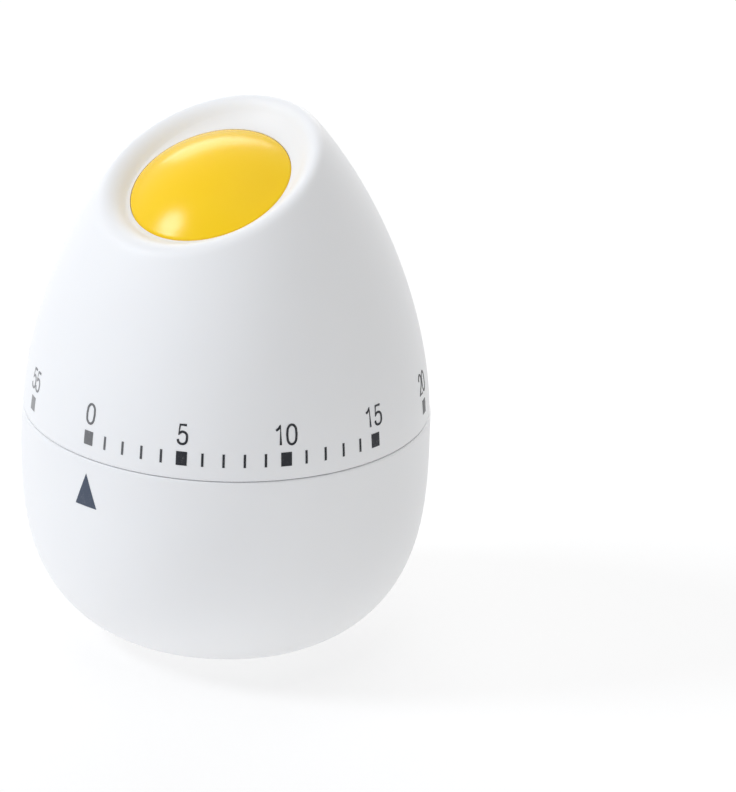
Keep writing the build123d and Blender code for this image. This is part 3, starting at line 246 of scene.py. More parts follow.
def acetal_finish(name):
    """Natural acetal: waxy off-white, dull where it was machined."""
    material, start = begin_finish(name)
    place = object_place(start)
    clouds = noise(start, place, 2 * MM)
    grain = noise(start, place, 0.2 * MM)
    bump = start.node("Bump", {}, {"Strength": 0.1, "Distance": 0.01 * MM, "Height": grain})
    light, dark = shaded(ACETAL_COLOUR, 1.04), shaded(ACETAL_COLOUR, 0.95)
    end_finish(start, {
        "Base Color": blend_colour(start, clouds, dark, light),
        "Roughness": 0.38 + grain * 0.12,
        "Subsurface Weight": 0.1,
        "Subsurface Scale": 1 * MM,
        "Normal": bump,
    })
    return material


dress(acetal_finish("cam_acetal"), "trip_cam")
dress(brushed_finish("lever_brushed", PLATE_COLOUR, 0.36), "stop_finger", "trip_lever")
dress_turned(TURNED_COLOUR, 0.25, "stop_pin", "lever_post")

# --- Hammer and bell ---
# A nickel-plated pressed steel cup stands on a brass post, and a sprung steel hammer hangs
# inside it. The cup sounds out through the slots of the bottom cover.
NICKEL_COLOUR = (0.66, 0.63, 0.58, 1)
PRESSING_PITCH = 0.3 * MM
dress(turned_finish("bell_nickel", NICKEL_COLOUR, 0.12, "bell", PRESSING_PITCH), "bell")
dress_turned(BRASS_COLOUR, 0.25, "bell_post")
dress_turned(TURNED_COLOUR, 0.25, "bell_screw", "hammer_arbor")
dress(brushed_finish("hammer_brushed", PLATE_COLOUR, 0.33), "hammer", "hammer_tail")
dress(blued_finish("hammer_spring_blued", 0.25), "hammer_spring")

# --- Base shell ---
# The lower half of the egg: a thin satin white shell, injection moulded in ABS and slightly
# fuller than the dial at the seam. Its spigot stands up inside the dial's skirt and centres it.
SPOKES = 240
SPOKE_ANGLES = [2 * math.pi * i / SPOKES for i in range(SPOKES)]
WELD_GAP = 0.001
CREASE_ANGLE = math.radians(40)
SEAM_HEIGHT = 32.45
SEAM_GAP = 0.08
WALL = 1.8
BASE_RADIUS = 28.15
BASE_DROP = 33.95
BASE_DROP_POWER = 3.36
BASE_ROUND_POWER = 2.55
FOOT_ROUND = 0.8
FOOT_START = 1.6
SEAM_ROUND = 0.25
INSIDE_STEPS = 26
OUTSIDE_STEPS = 60
SPIGOT_RADIUS = 25.9
SPIGOT_WALL = 1.0
SPIGOT_RISE = 2.0
LEDGE_DEPTH = 2.6
FLOOR = 3.0
COVER_OPENING = 10.7
COVER_SHOULDER = 1.8
COVER_SEAT = 1.5
BOSS_RADIUS = 2.0
BOSS_HOLE_RADIUS = 0.91
BOSS_HOLE_DEPTH = 5.0
BOSS_ANGLES = (90, 195, 300)
SCREW_INSET = 1.85
WHITE_COLOUR = (0.88, 0.885, 0.895, 1)
WHITE_SHADE = (0.85, 0.855, 0.865, 1)


def egg_radius(height, radius, length, length_power, round_power):
    """Radius of one half of the egg at a height above, or depth below, its widest place."""
    share = min(1, max(0, height / length))
    return radius * (1 - share**length_power) ** (1 / round_power)


def egg_height(radius, widest, length, length_power, round_power):
    """The inverse: how far from its widest place half of the egg has this radius."""
    share = max(0, 1 - (radius / widest) ** round_power)
    return length * share ** (1 / length_power)


def steps(first, last, count, power=1.0):
    """Count values from first to last, closer to the first for a power over 1."""
    return [first + (last - first) * (i / (count - 1)) ** power for i in range(count)]


def level_ring(radius, height, centre=(0, 0)):
    """Points round a level circle, in millimetres."""
    return [
        Vector((centre[0] + radius * math.cos(a), centre[1] + radius * math.sin(a), height))
        for a in SPOKE_ANGLES
    ]


def grow_skin(name, rings, closed_loop=False):
    """Extrudes a ring of points from place to place, as a skin with both ends filled or joined."""
    bpy.ops.object.select_all(action="DESELECT")
    bpy.ops.mesh.primitive_circle_add(
        vertices=SPOKES, radius=MM, fill_type="NOTHING" if closed_loop else "NGON"
    )
    piece = bpy.context.object
    piece.name = name
    mesh = piece.data
    mesh.name = name
    mesh.attributes.new("spoke", "INT", "POINT")
    for i, point in enumerate(rings[0]):
        mesh.attributes["spoke"].data[i].value = i
        mesh.vertices[i].co = point * MM
    bpy.ops.object.mode_set(mode="EDIT")
    bpy.ops.mesh.select_mode(type="VERT")
    bpy.ops.mesh.select_all(action="SELECT")
    for ring in rings[1:]:
        bpy.ops.mesh.extrude_region_move()
        work = bmesh.from_edit_mesh(mesh)
        spoke = work.verts.layers.int["spoke"]
        for vertex in work.verts:
            if vertex.select:
                vertex.co = ring[vertex[spoke]] * MM
        bmesh.update_edit_mesh(mesh)
    bpy.ops.mesh.select_all(action="SELECT")
    bpy.ops.mesh.remove_doubles(threshold=WELD_GAP * MM)
    bpy.ops.mesh.normals_make_consistent(inside=False)
    bpy.ops.object.mode_set(mode="OBJECT")
    mesh.attributes.remove(mesh.attributes["spoke"])
    bpy.ops.object.shade_smooth_by_angle(angle=CREASE_ANGLE)
    return piece


def rounded_corner(before, corner, after, count=6):
    """Points on a soft curve from one point to another, drawn towards a corner between them."""
    return [
        before * (1 - t) ** 2 + corner * 2 * t * (1 - t) + after * t**2
        for t in steps(0, 1, count)
    ]


def white_finish(name):
    """Satin white plastic: faint clouding, an orange-peel skin and a few duller patches."""
    material, start = begin_finish(name)
    place = object_place(start)
    clouds = noise(start, place, 14 * MM, 2.0)
    peel = noise(start, place, 1.6 * MM, 2.0)
    grain = noise(start, place, 0.25 * MM)
    handling = noise(start, place, 7 * MM, 4.0)
    bump = start.node("Bump", {}, {
        "Strength": 0.12,
        "Distance": 0.02 * MM,
        "Height": peel * 0.8 + grain * 0.2,
    })
    end_finish(start, {
        "Base Color": blend_colour(start, clouds, WHITE_SHADE, WHITE_COLOUR),
        "Roughness": 0.38 + handling * 0.12 + grain * 0.04,
        "IOR": 1.5,
        "Specular IOR Level": 0.4,
        "Subsurface Weight": 0.12,
        "Subsurface Radius": (1.0, 0.9, 0.8),
        "Subsurface Scale": 1.2 * MM,
        "Normal": bump,
    })
    return material


def base_wall(height, inset=0.0):
    """Radius of the base at a height above the foot."""
    return egg_radius(
        SEAM_HEIGHT - height, BASE_RADIUS - inset, BASE_DROP - inset,
        BASE_DROP_POWER, BASE_ROUND_POWER
    )


base_top = SEAM_HEIGHT - SEAM_GAP / 2
spigot_top = SEAM_HEIGHT + SEAM_GAP / 2 + SPIGOT_RISE
ledge_bottom = base_top - LEDGE_DEPTH
spigot_inside = SPIGOT_RADIUS - SPIGOT_WALL
opening = COVER_OPENING - COVER_SHOULDER
base_profile = [(opening, FLOOR)]
base_profile += [(base_wall(h, WALL), h) for h in steps(FLOOR, ledge_bottom, INSIDE_STEPS)]
base_profile += [
    (spigot_inside, ledge_bottom),
    (spigot_inside, spigot_top - SEAM_ROUND),
    (spigot_inside + SEAM_ROUND, spigot_top),
    (SPIGOT_RADIUS - SEAM_ROUND, spigot_top),
    (SPIGOT_RADIUS, spigot_top - SEAM_ROUND),
    (SPIGOT_RADIUS, base_top),
]
seam_corner = rounded_corner(
    Vector((BASE_RADIUS - SEAM_ROUND, base_top)),
    Vector((BASE_RADIUS, base_top)),
    Vector((BASE_RADIUS, base_top - SEAM_ROUND)),
)
base_profile += [tuple(p) for p in seam_corner]
outside_heights = steps(base_top - SEAM_ROUND, FOOT_START, OUTSIDE_STEPS)
base_profile += [(base_wall(h), h) for h in outside_heights[1:]]
foot_corner = rounded_corner(
    Vector((base_wall(FOOT_START), FOOT_START)),
    Vector((base_wall(0.0), 0.0)),
    Vector((base_wall(0.0) - 2 * FOOT_ROUND, 0.0)),
    count=10,
)
base_profile += [tuple(p) for p in foot_corner[1:]]
base_profile += [
    (COVER_OPENING + SEAM_ROUND, 0.0),
    (COVER_OPENING, SEAM_ROUND),
    (COVER_OPENING, COVER_SEAT),
    (opening, COVER_SEAT),
    (opening, FLOOR),
]
base = grow_skin("egg_base", [level_ring(r, h) for r, h in base_profile], closed_loop=True)
base_white = white_finish("base_white")
base.data.materials.append(base_white)
base_pieces = [base]

# The bosses grow out of the floor and the wall, and carry the lower plate on their flat tops.
plate_low, plate_high = (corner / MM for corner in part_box("lower_plate"))
boss_circle = plate_high.x - SCREW_INSET
for degrees in BOSS_ANGLES:
    angle = math.radians(degrees)
    centre = (boss_circle * math.cos(angle), boss_circle * math.sin(angle))
    rings = [
        level_ring(BOSS_RADIUS, 0, centre),
        level_ring(BOSS_RADIUS, plate_low.z, centre),
        level_ring(BOSS_HOLE_RADIUS, plate_low.z, centre),
        level_ring(BOSS_HOLE_RADIUS, plate_low.z - BOSS_HOLE_DEPTH, centre),
    ]
    for point in rings[0]:
        depth = egg_height(
            point.xy.length, BASE_RADIUS - WALL / 2, BASE_DROP - WALL / 2,
            BASE_DROP_POWER, BASE_ROUND_POWER
        )
        point.z = max(FLOOR - WALL / 2, SEAM_HEIGHT - depth)
    boss = grow_skin(f"base_boss_{degrees}", rings)
    boss.data.materials.append(base_white)
    base_pieces.append(boss)
for piece in base_pieces:
    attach(piece, "base")
    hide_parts("base_shell")

# --- Bottom cover ---
# A white disc clips into the foot on three hooks. Eight slots round its middle let the bell
# sound out.
dress(white_finish("cover_white"), "base_cover")

# --- Dial shell ---
# The upper half of the egg, turned by hand: satin white, cut on a slope, with a softly rounded
# rim round a shallow dish. The yolk sits in a socket at the bottom of the dish.
DIAL_RADIUS = 28.0
DIAL_RISE = 50.8
DIAL_RISE_POWER = 1.725
DIAL_ROUND_POWER = 1.42
CUT_RISE = 38.8
CUT_TILT = math.radians(24.2)
DISH_DEPTH = 2.7
DISH_POWER = 1.6
RIM_LIFT = 0.3
RIM_ROUND_OUT = 2.6
RIM_ROUND_IN = 2.5
RIM_STEPS = 12
DISH_STEPS = 14
SKIRT_STEPS = 16
WALL_STEPS = 52
HALVINGS = 40
YOLK_OFFSET = 5.95
YOLK_RADIUS = 11.45
YOLK_SKIRT = 1.5
SOCKET_CLEARANCE = 0.03
SOCKET_FLOOR = 1.5
HUB_RADIUS = 3.4
HUB_DROP = 1.85
BORE_RADIUS = 2.01
BORE_FLAT = 1.51
BORE_LENGTH = 14.4
RIB_COUNT = 4
RIB_RISE = 17.5
RIB_THICKNESS = 1.2
RIB_GRID = (24, 8)
ROOT_DEPTH = 0.5

cut_to_egg = (
    Matrix.Translation((0, 0, SEAM_HEIGHT + CUT_RISE)) @ Matrix.Rotation(CUT_TILT, 4, "X")
)
egg_to_cut = cut_to_egg.inverted()
yolk_middle = Vector((0, -YOLK_OFFSET, 0))


def dial_wall(height, inset=0.0):
    """Radius of the dial at a height above the seam."""
    return egg_radius(
        height, DIAL_RADIUS - inset, DIAL_RISE - inset, DIAL_RISE_POWER, DIAL_ROUND_POWER
    )


def dial_point(angle, height, inset=0.0, proud=0.0):
    """Point on the dial's wall at an angle round the axis and a height above the seam."""
    radius = dial_wall(height, inset) + proud
    return Vector((radius * math.cos(angle), radius * math.sin(angle), SEAM_HEIGHT + height))


def height_under(angle, drop, inset=0.0):
    """Height above the seam where the wall meets a plane that lies drop below the cut."""
    low, high = 0.0, DIAL_RISE - inset
    for _ in range(HALVINGS):
        middle = (low + high) / 2
        below = (egg_to_cut @ dial_point(angle, middle, inset)).z < -drop
        low, high = (middle, high) if below else (low, middle)
    return low


def dish_point(edge, share):
    """Point of the dish between the rim and the yolk's edge, in the cut's own frame."""
    towards = (yolk_middle - edge).normalized()
    socket = yolk_middle - towards * (YOLK_RADIUS + SOCKET_CLEARANCE)
    point = edge.lerp(socket, share)
    point.z = RIM_LIFT - (RIM_LIFT + DISH_DEPTH) * (1 - max(0, 1 - share) ** DISH_POWER)
    return point


# Each spoke's angle, rim height, rim corner, and share of the dish that the rim's rounding takes.
rims = []
for angle in SPOKE_ANGLES:
    rim_height = height_under(angle, -RIM_LIFT)
    corner = egg_to_cut @ dial_point(angle, rim_height)
    dish_width = (corner - yolk_middle).length - YOLK_RADIUS
    rims.append((angle, rim_height, corner, RIM_ROUND_IN / dish_width))


def rim_rows():
    """Rings over the rounded rim, from the wall to the dish."""
    spans = []
    for angle, rim_height, corner, dish_start in rims:
        slope = (dial_point(angle, rim_height) - dial_point(angle, rim_height - 1)).length
        outer = egg_to_cut @ dial_point(angle, rim_height - RIM_ROUND_OUT / slope)
        spans.append(rounded_corner(outer, corner, dish_point(corner, dish_start), RIM_STEPS))
    return [[cut_to_egg @ span[i] for span in spans] for i in range(RIM_STEPS)]


def dish_row(step):
    """One ring of the dish, of those from the rim's rounding to the socket's edge."""
    return [
        cut_to_egg @ dish_point(corner, dish_start + (1 - dish_start) * step / DISH_STEPS)
        for angle, rim_height, corner, dish_start in rims
    ]


ceiling_drop = DISH_DEPTH + YOLK_SKIRT + SOCKET_FLOOR
ceilings = [height_under(angle, ceiling_drop, WALL) for angle in SPOKE_ANGLES]
skirt_bottom = SEAM_GAP / 2
dial_rings = []
for share in steps(1.0, 0.0, SKIRT_STEPS):
    dial_rings.append([
        dial_point(a, skirt_bottom + (ceiling - skirt_bottom) * share, WALL)
        for a, ceiling in zip(SPOKE_ANGLES, ceilings)
    ])
seam_corner = rounded_corner(
    Vector((DIAL_RADIUS - SEAM_ROUND, SEAM_HEIGHT + skirt_bottom)),
    Vector((DIAL_RADIUS, SEAM_HEIGHT + skirt_bottom)),
    Vector((dial_wall(skirt_bottom + SEAM_ROUND), SEAM_HEIGHT + skirt_bottom + SEAM_ROUND)),
)
dial_rings += [level_ring(*p) for p in seam_corner]
over_rim = rim_rows()
wall_tops = [point.z - SEAM_HEIGHT for point in over_rim[0]]
wall_start = skirt_bottom + SEAM_ROUND
for share in steps(0.0, 1.0, WALL_STEPS)[1:-1]:
    dial_rings.append([
        dial_point(a, wall_start + (top - wall_start) * share)
        for a, top in zip(SPOKE_ANGLES, wall_tops)
    ])
dial_rings += over_rim
dial_rings += [dish_row(step + 1) for step in range(DISH_STEPS)]
down = cut_to_egg.to_3x3() @ Vector((0, 0, -YOLK_SKIRT))
dial_rings.append([point + down for point in dial_rings[-1]])
dial_white = white_finish("dial_white")
dial_pieces = [grow_skin("egg_dial", dial_rings)]


def root_height(back):
    """Height above the foot, a little inside the sloping ceiling, at a distance back."""
    drop = ceiling_drop - ROOT_DEPTH
    return SEAM_HEIGHT + CUT_RISE + (math.sin(CUT_TILT) * back - drop) / math.cos(CUT_TILT)


def slab(name, width, height, thickness, columns, rows):
    """A slab of small faces, in millimetres, on either side of the XY plane."""
    bpy.ops.object.select_all(action="DESELECT")
    bpy.ops.mesh.primitive_grid_add(x_subdivisions=columns, y_subdivisions=rows, size=1)
    patch = bpy.context.object
    patch.name = name
    bpy.ops.object.mode_set(mode="EDIT")
    bpy.ops.mesh.select_all(action="SELECT")
    bpy.ops.transform.resize(value=(width, height, 1))
    bpy.ops.transform.translate(value=(0, 0, -thickness / 2))
    bpy.ops.mesh.extrude_region_move(TRANSFORM_OT_translate={"value": (0, 0, thickness)})
    bpy.ops.mesh.select_all(action="SELECT")
    bpy.ops.mesh.normals_make_consistent(inside=False)
    bpy.ops.object.mode_set(mode="OBJECT")
    return patch


# The hub hangs from the ceiling, and its D-shaped bore turns the winding arbor.
hub_bottom = SEAM_HEIGHT - HUB_DROP
hub_top = level_ring(HUB_RADIUS, 0)
for point in hub_top:
    point.z = root_height(point.y)
bore = level_ring(BORE_RADIUS, hub_bottom)
for point in bore:
    point.y = min(point.y, BORE_FLAT)
bore_end = [point + Vector((0, 0, BORE_LENGTH)) for point in bore]
dial_pieces.append(
    grow_skin("dial_hub", [hub_top, level_ring(HUB_RADIUS, hub_bottom), bore, bore_end])
)

# Ribs fill the corner between the hub, the wall and the ceiling, and are rooted in all three.
rib_bottom = SEAM_HEIGHT + RIB_RISE
rib_start = HUB_RADIUS - ROOT_DEPTH
rib_end = dial_wall(RIB_RISE + ROOT_DEPTH, WALL / 2)
for turn in range(RIB_COUNT):
    rib = slab(f"dial_rib_{turn}", 1, 1, RIB_THICKNESS, *RIB_GRID)
    angle = 2 * math.pi * turn / RIB_COUNT
    out = Vector((math.cos(angle), math.sin(angle)))
    side = Vector((out.y, -out.x))
    for vertex in rib.data.vertices:
        along, up, aside = vertex.co
        radius = rib_start + (rib_end - rib_start) * (along + 0.5)
        wall_top = SEAM_HEIGHT + egg_height(
            radius, DIAL_RADIUS - WALL / 2, DIAL_RISE - WALL / 2, DIAL_RISE_POWER, DIAL_ROUND_POWER
        )
        rib_top = min(wall_top, root_height(out.y * radius))
        height = rib_bottom + (rib_top - rib_bottom) * (up + 0.5)
        vertex.co = Vector((*(out * radius + side * aside), height)) * MM
    dial_pieces.append(rib)
for piece in dial_pieces:
    piece.data.materials.append(dial_white)
    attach(piece, "dial")
    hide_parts("dial_shell")

# --- Yolk ---
# A hollow domed cap in glossy yellow plastic, moulded through in its colour and pressed into
# the dish's socket. Its edge is rounded and its crown is a shallow dome.
YOLK_RISE = 3.2
YOLK_WALL = 1.2
YOLK_EDGE_WIDTH = 0.5
YOLK_EDGE_DROP = 0.3
YOLK_EDGE_SWELL = 0.05
CROWN_HOLE = 0.15
CROWN_STEPS = 30
YOLK_COLOUR = (0.98, 0.64, 0.004, 1)
YOLK_WARM = (0.98, 0.61, 0.004, 1)
yolk_edge = Vector((0, -YOLK_OFFSET, -DISH_DEPTH))


def yolk_ring(radius, rise):
    """Points round the yolk's middle, rise above its edge, square to the cut."""
    return [
        cut_to_egg @ (yolk_edge + Vector((radius * math.cos(a), radius * math.sin(a), rise)))
        for a in SPOKE_ANGLES
    ]


crown_radius = (YOLK_RADIUS**2 + YOLK_RISE**2) / (2 * YOLK_RISE)
yolk_profile = [
    (YOLK_RADIUS - YOLK_WALL, 0.0),
    (YOLK_RADIUS - YOLK_WALL, -YOLK_SKIRT),
    (YOLK_RADIUS, -YOLK_SKIRT),
    (YOLK_RADIUS, -YOLK_SKIRT / 2),
]


def dome_rise(radius):
    """Height of the dome over its edge at a distance from its middle."""
    return math.sqrt(crown_radius**2 - radius**2) - crown_radius + YOLK_RISE


def yolk_finish(name):
    """Glossy yellow plastic, warmer in places, with a faint haze and an orange-peel skin."""
    material, start = begin_finish(name)
    place = object_place(start)
    flow = noise(start, place, 9 * MM, 2.0)
    haze = noise(start, place, 2.5 * MM, 4.0)
    peel = noise(start, place, 1.2 * MM, 2.0)
    bump = start.node("Bump", {}, {"Strength": 0.08, "Distance": 0.02 * MM, "Height": peel})
    end_finish(start, {
        "Base Color": blend_colour(start, flow, YOLK_WARM, YOLK_COLOUR),
        "Roughness": 0.17 + haze * 0.08,
        "IOR": 1.45,
        "Specular IOR Level": 0.35,
        "Subsurface Weight": 0.1,
        "Subsurface Radius": (1.0, 0.6, 0.1),
        "Subsurface Scale": 1.5 * MM,
        "Normal": bump,
    })
    return material


edge_start = YOLK_RADIUS - YOLK_EDGE_WIDTH
yolk_corner = rounded_corner(
    Vector((YOLK_RADIUS, -YOLK_EDGE_DROP)),
    Vector((YOLK_RADIUS, YOLK_EDGE_SWELL)),
    Vector((edge_start, dome_rise(edge_start))),
    count=9,
)
yolk_profile += [tuple(p) for p in yolk_corner]
crown_radii = steps(edge_start, CROWN_HOLE, CROWN_STEPS)
yolk_profile += [(r, dome_rise(r)) for r in crown_radii[1:]]
yolk = grow_skin("yolk", [yolk_ring(r, h) for r, h in yolk_profile])
yolk.data.materials.append(yolk_finish("yolk_yellow"))
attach(yolk, "dial")
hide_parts("yolk_dome")

# --- Printed scale ---
# Dark ink, pad printed on the dial just above the seam: a block and a number every five
# minutes, and thin minute ticks over the first quarter of the hour.
INK_PROUD = 0.03
INK_DEPTH = 0.15
ZERO_ANGLE = -90
MINUTE_ANGLE = 6
NUMBER_EVERY = 5
TICKS_END = 15
MARK_HEIGHT = 3.07
BLOCK_SIZE = (1.55, 1.98)
BLOCK_GRID = (4, 6)
TICK_SIZE = (0.34, 1.9)
TICK_GRID = (2, 6)
NUMBER_HEIGHT = 2.72
NUMBER_RISE = 3.42
DIGIT_WIDTH = 1.28
DIGIT_ADVANCE = 1.6
STROKE = 0.33
INK_COLOUR = (0.010, 0.012, 0.018, 1)
INK_COVER = 0.9
# Painted sheen: the scale's ink is blended up to 0.3 of the way to white towards one side of the
# dial, around the 55 and 0 marks, in place of glare on the print at a grazing angle.
PAINTED_SHEEN_MOST = 0.3
PAINTED_SHEEN_ANGLE = math.radians(ZERO_ANGLE - 48)
PAINTED_SHEEN_FROM = 6
PAINTED_SHEEN_TO = 28


def ink_finish(name, colour, cover, painted_sheen_most=0.0):
    """Printed ink that lets a little white show through, with a painted sheen that lightens it
    towards one side of the dial.
    """
    material, start = begin_finish(name)
    place = object_place(start)
    speckle = noise(start, place, 0.12 * MM, 2.0)
    wear = noise(start, place, 0.8 * MM)
    mask = start.node("MapRange", {}, {
        "Value": speckle * 0.5 + wear * 0.5,
        "From Min": 0.52, "From Max": 0.72, "To Min": 0.0, "To Max": 1 - cover,
    })
    painted_sheen_side = (math.cos(PAINTED_SHEEN_ANGLE), math.sin(PAINTED_SHEEN_ANGLE), 0)
    reach = start.node(
        "VectorMath", {"operation": "DOT_PRODUCT"}, {0: place, 1: painted_sheen_side}, output="Value"
    )
    # Painted sheen: the ink turns paler towards one side of the dial, in place of glare on the
    # print.
    mask += start.node("MapRange", {}, {
        "Value": reach,
        "From Min": PAINTED_SHEEN_FROM * MM, "From Max": PAINTED_SHEEN_TO * MM, "To Min": 0.0, "To Max": painted_sheen_most,
    })
    end_finish(start, {
        "Base Color": blend_colour(start, mask, colour, WHITE_COLOUR),
        "Roughness": 0.26 + speckle * 0.1,
        "Specular IOR Level": 0.3,
    })
    return material


def wrap_mark(piece, angle, height, wall_point):
    """Lays a flat mark on the egg's wall, with its back sunk in and the rest just proud of it."""
    for vertex in piece.data.vertices:
        across, up, over = vertex.co
        radius = wall_point(0, height + up, 0).xy.length
        proud = -INK_DEPTH if over < -WELD_GAP else INK_PROUD
        vertex.co = wall_point(angle + across / radius, height + up, proud) * MM


# Each digit's strokes, in a box one unit wide and one high. A corner ends with True.
DIGITS = {
    "0": [[(0.5, 1), (0.87, 0.89), (1, 0.64), (1, 0.36), (0.87, 0.11), (0.5, 0), (0.13, 0.11),
           (0, 0.36), (0, 0.64), (0.13, 0.89)]],
    "1": [[(0, 0.76, True), (0.3, 0.86), (0.5, 1, True), (0.5, 0, True)]],
    "2": [[(0.02, 0.72), (0.16, 0.92), (0.5, 1), (0.86, 0.91), (0.95, 0.72), (0.74, 0.45),
           (0.24, 0.18), (0, 0, True), (1, 0, True)]],
    "3": [[(0.02, 0.77), (0.18, 0.95), (0.5, 1), (0.84, 0.92), (0.9, 0.75), (0.76, 0.58),
           (0.36, 0.53, True), (0.84, 0.46), (1, 0.28), (0.86, 0.07), (0.48, 0), (0.14, 0.06),
           (0, 0.25)]],
    "4": [[(0.74, 0, True), (0.74, 1, True), (0, 0.28, True), (1.02, 0.28, True)]],
    "5": [[(0.92, 0.98, True), (0.2, 0.98, True), (0.08, 0.49, True), (0.3, 0.6), (0.52, 0.63),
           (0.9, 0.54), (1, 0.31), (0.86, 0.07), (0.48, 0), (0.14, 0.06), (0, 0.23)]],
}


def weld():
    """Joins the points of the active piece that lie on each other."""
    bpy.ops.object.mode_set(mode="EDIT")
    bpy.ops.mesh.select_all(action="SELECT")
    bpy.ops.mesh.remove_doubles(threshold=WELD_GAP)
    bpy.ops.object.mode_set(mode="OBJECT")


def flat_number(name, text, height):
    """A number drawn in even strokes, in millimetres, centred on the origin."""
    curve = bpy.data.curves.new(name, "CURVE")
    curve.dimensions = "3D"
    curve.bevel_depth = STROKE / 2
    curve.bevel_resolution = 1
    curve.resolution_u = 5
    curve.use_fill_caps = True
    for place, digit in enumerate(text):
        left = (place - (len(text) - 1) / 2) * DIGIT_ADVANCE - DIGIT_WIDTH / 2
        for stroke in DIGITS[digit]:
            spline = curve.splines.new("BEZIER")
            spline.use_cyclic_u = digit == "0"
            spline.bezier_points.add(len(stroke) - 1)
            for knot, point in zip(spline.bezier_points, stroke):
                knot.co = (left + point[0] * DIGIT_WIDTH, (point[1] - 0.5) * height, 0)
                kind = "VECTOR" if len(point) == 3 else "AUTO"
                knot.handle_left_type = knot.handle_right_type = kind
    number = bpy.data.objects.new(name, curve)
    bpy.context.collection.objects.link(number)
    bpy.ops.object.select_all(action="DESELECT")
    number.select_set(True)
    bpy.context.view_layer.objects.active = number
    bpy.ops.object.convert(target="MESH")
    weld()
    return bpy.context.object


def on_dial(angle, height, proud):
    """Point of the ink on the dial."""
    return dial_point(angle, height, proud=proud)


scale_ink = ink_finish("scale_ink", INK_COLOUR, INK_COVER, PAINTED_SHEEN_MOST)
for minute in range(60):
    angle = math.radians(ZERO_ANGLE + MINUTE_ANGLE * minute)
    marks = []
    if minute % NUMBER_EVERY == 0:
        block = slab(f"block_{minute:02d}", *BLOCK_SIZE, 2 * INK_DEPTH, *BLOCK_GRID)
        marks.append((block, 0))
        number = flat_number(f"number_{minute:02d}", str(minute), NUMBER_HEIGHT)
        marks.append((number, NUMBER_RISE))
    elif minute < TICKS_END:
        tick = slab(f"tick_{minute:02d}", *TICK_SIZE, 2 * INK_DEPTH, *TICK_GRID)
        marks.append((tick, 0))
    for mark, rise in marks:
        bpy.context.view_layer.objects.active = mark
        wrap_mark(mark, angle, MARK_HEIGHT + rise, on_dial)
        mark.data.materials.clear()
        mark.data.materials.append(scale_ink)
        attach(mark, "dial")

# --- Pointer ---
# A slate grey triangle, pad printed on the base just under the seam. It points up at the scale
# and shows the minutes left.
POINTER_WIDTH = 3.85
POINTER_HEIGHT = 4.85
POINTER_DROP = 2.12
POINTER_GRID = (8, 10)
POINTER_COLOUR = (0.058, 0.076, 0.115, 1)
POINTER_COVER = 0.94


def on_base(angle, height, proud):
    """Point of the ink on the base; its height is above the seam, so below 0 here."""
    radius = base_wall(SEAM_HEIGHT + height) + proud
    return Vector((radius * math.cos(angle), radius * math.sin(angle), SEAM_HEIGHT + height))


pointer = slab("pointer", POINTER_WIDTH, POINTER_HEIGHT, 2 * INK_DEPTH, *POINTER_GRID)
for vertex in pointer.data.vertices:
    vertex.co.x *= 0.5 - vertex.co.y / POINTER_HEIGHT
weld()
wrap_mark(pointer, math.radians(ZERO_ANGLE), -POINTER_DROP - POINTER_HEIGHT / 2, on_base)
pointer.data.materials.append(ink_finish("pointer_ink", POINTER_COLOUR, POINTER_COVER))
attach(pointer, "base")

# --- Floor and backdrop ---
# A plain white table that keeps the egg's shadow. Where the camera or a reflection sees the
# floor and the world, they are plain white.
FLOOR_SIZE = 6
FLOOR_DARK = (0.88, 0.88, 0.88, 1)
FLOOR_LIGHT = (0.9, 0.9, 0.9, 1)
FLOOR_PLAIN = 1.12
FLOOR_WHITENESS = 0.56
FLOOR_GLOW = 0.52
ROOM_LIGHT = 0.435
WHITE = (1, 1, 1, 1)


def seen_plainly(start):
    """1 for what the camera, a reflection or clear plastic sees, and 0 for what light sees."""
    path = start.node("LightPath", output="Is Camera Ray")
    path += start.node("LightPath", output="Is Glossy Ray")
    path += start.node("LightPath", output="Is Transmission Ray")
    return start.node("Clamp", {}, {"Value": path})


def floor_finish(name):
    """White paper, part of it lit by the lamps and the rest plain white whatever the light."""
    material, start = begin_finish(name)
    grain = noise(start, object_place(start), 30 * MM)
    lit = start.node("BsdfPrincipled", {}, {
        "Base Color": blend_colour(start, grain, FLOOR_DARK, FLOOR_LIGHT),
        "Roughness": 0.8,
        "Specular IOR Level": 0.2,
    })
    plain = start.node("Emission", {}, {"Color": WHITE, "Strength": FLOOR_PLAIN})
    share = seen_plainly(start) * (FLOOR_WHITENESS - FLOOR_GLOW) + FLOOR_GLOW
    mixed = start.node("MixShader", {}, {0: share, 1: lit, 2: plain})
    start.node("OutputMaterial", {}, {"Surface": mixed})
    return material


bpy.ops.object.select_all(action="DESELECT")
bpy.ops.mesh.primitive_plane_add(size=FLOOR_SIZE)
floor = bpy.context.object
floor.name = "floor"
floor.data.materials.append(floor_finish("floor_white"))

world = bpy.data.worlds.new("studio")
bpy.context.scene.world = world
world.use_nodes = True
world.node_tree.nodes.clear()
sky = Link(world.node_tree)
room = sky.node("Background", {}, {"Color": WHITE, "Strength": ROOM_LIGHT})
backdrop = sky.node("Background", {}, {"Color": WHITE, "Strength": 1.0})
both = sky.node("MixShader", {}, {0: seen_plainly(sky), 1: room, 2: backdrop})
sky.node("OutputWorld", {}, {"Surface": both})

# --- Lights ---
# A small round key lamp on the left is the yolk's bright spot, and a long softbox behind on the
# left runs along its top. A faint cool one in front and a soft one overhead fill the shade.
AIM = Vector((0, 0, 40 * MM))


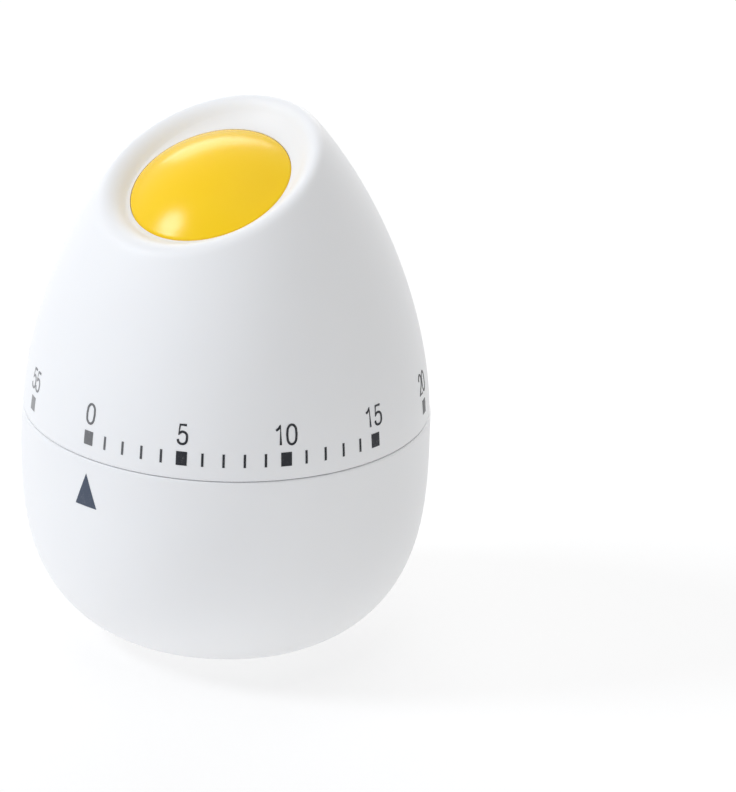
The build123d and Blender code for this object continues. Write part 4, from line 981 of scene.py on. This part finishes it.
def softbox(name, azimuth, elevation, distance, size, strength, colour=(1, 1, 1), round_face=False):
    """An area lamp that faces the egg; strength is how bright its face is, 1 being white."""
    a, e = math.radians(azimuth), math.radians(elevation)
    out = Vector((math.sin(a) * math.cos(e), -math.cos(a) * math.cos(e), math.sin(e)))
    data = bpy.data.lights.new(name, "AREA")
    data.shape = "ELLIPSE" if round_face else "RECTANGLE"
    data.size, data.size_y = size
    face = size[0] * size[1] * (math.pi / 4 if round_face else 1)
    data.energy = strength * math.pi * face
    data.color = colour
    lamp = bpy.data.objects.new(name, data)
    bpy.context.collection.objects.link(lamp)
    lamp.location = AIM + out * distance
    lamp.rotation_mode = "QUATERNION"
    lamp.rotation_quaternion = (-out).to_track_quat("-Z", "Y")
    return lamp


softbox(
    "key", azimuth=-45, elevation=41, distance=0.9, size=(0.28, 0.28), strength=13.5,
    colour=(0.93, 0.97, 1.03), round_face=True,
)
softbox(
    "front", azimuth=-6, elevation=3, distance=1.2, size=(0.8, 0.8), strength=1.25,
    colour=(0.84, 0.92, 1.1),
)
softbox("back", azimuth=-143, elevation=20, distance=1.2, size=(1.33, 0.64), strength=2.2)
top = softbox("top", azimuth=0, elevation=89, distance=1.2, size=(0.9, 0.9), strength=1.5)
top.visible_glossy = False

# --- Camera ---
# A very long lens, held far away with a slight roll. It looks a little down on the timer from
# its front right.
CAMERA_AZIMUTH = 42.03
CAMERA_ELEVATION = 22.13
CAMERA_ROLL = math.radians(1.55)
CAMERA_DISTANCE = 3.5
CAMERA_LENS = 1154.3
SENSOR_WIDTH = 36
CAMERA_SHIFT = (19.53, 1.285)
azimuth, elevation = math.radians(CAMERA_AZIMUTH), math.radians(CAMERA_ELEVATION)
back = Vector((
    math.sin(azimuth) * math.cos(elevation),
    -math.cos(azimuth) * math.cos(elevation),
    math.sin(elevation),
))
turn = (-back).to_track_quat("-Z", "Y").to_matrix() @ Matrix.Rotation(CAMERA_ROLL, 3, "Z")
aim = Vector((0, 0, SEAM_HEIGHT)) + turn @ Vector((*CAMERA_SHIFT, 0))
lens = bpy.data.cameras.new("camera")
lens.lens = CAMERA_LENS
lens.sensor_fit = "AUTO"
lens.sensor_width = SENSOR_WIDTH
camera = bpy.data.objects.new("camera", lens)
bpy.context.collection.objects.link(camera)
camera.matrix_world = Matrix.Translation(aim * MM + back * CAMERA_DISTANCE) @ turn.to_4x4()
bpy.context.scene.camera = camera
bpy.context.scene.view_settings.view_transform = "Standard"
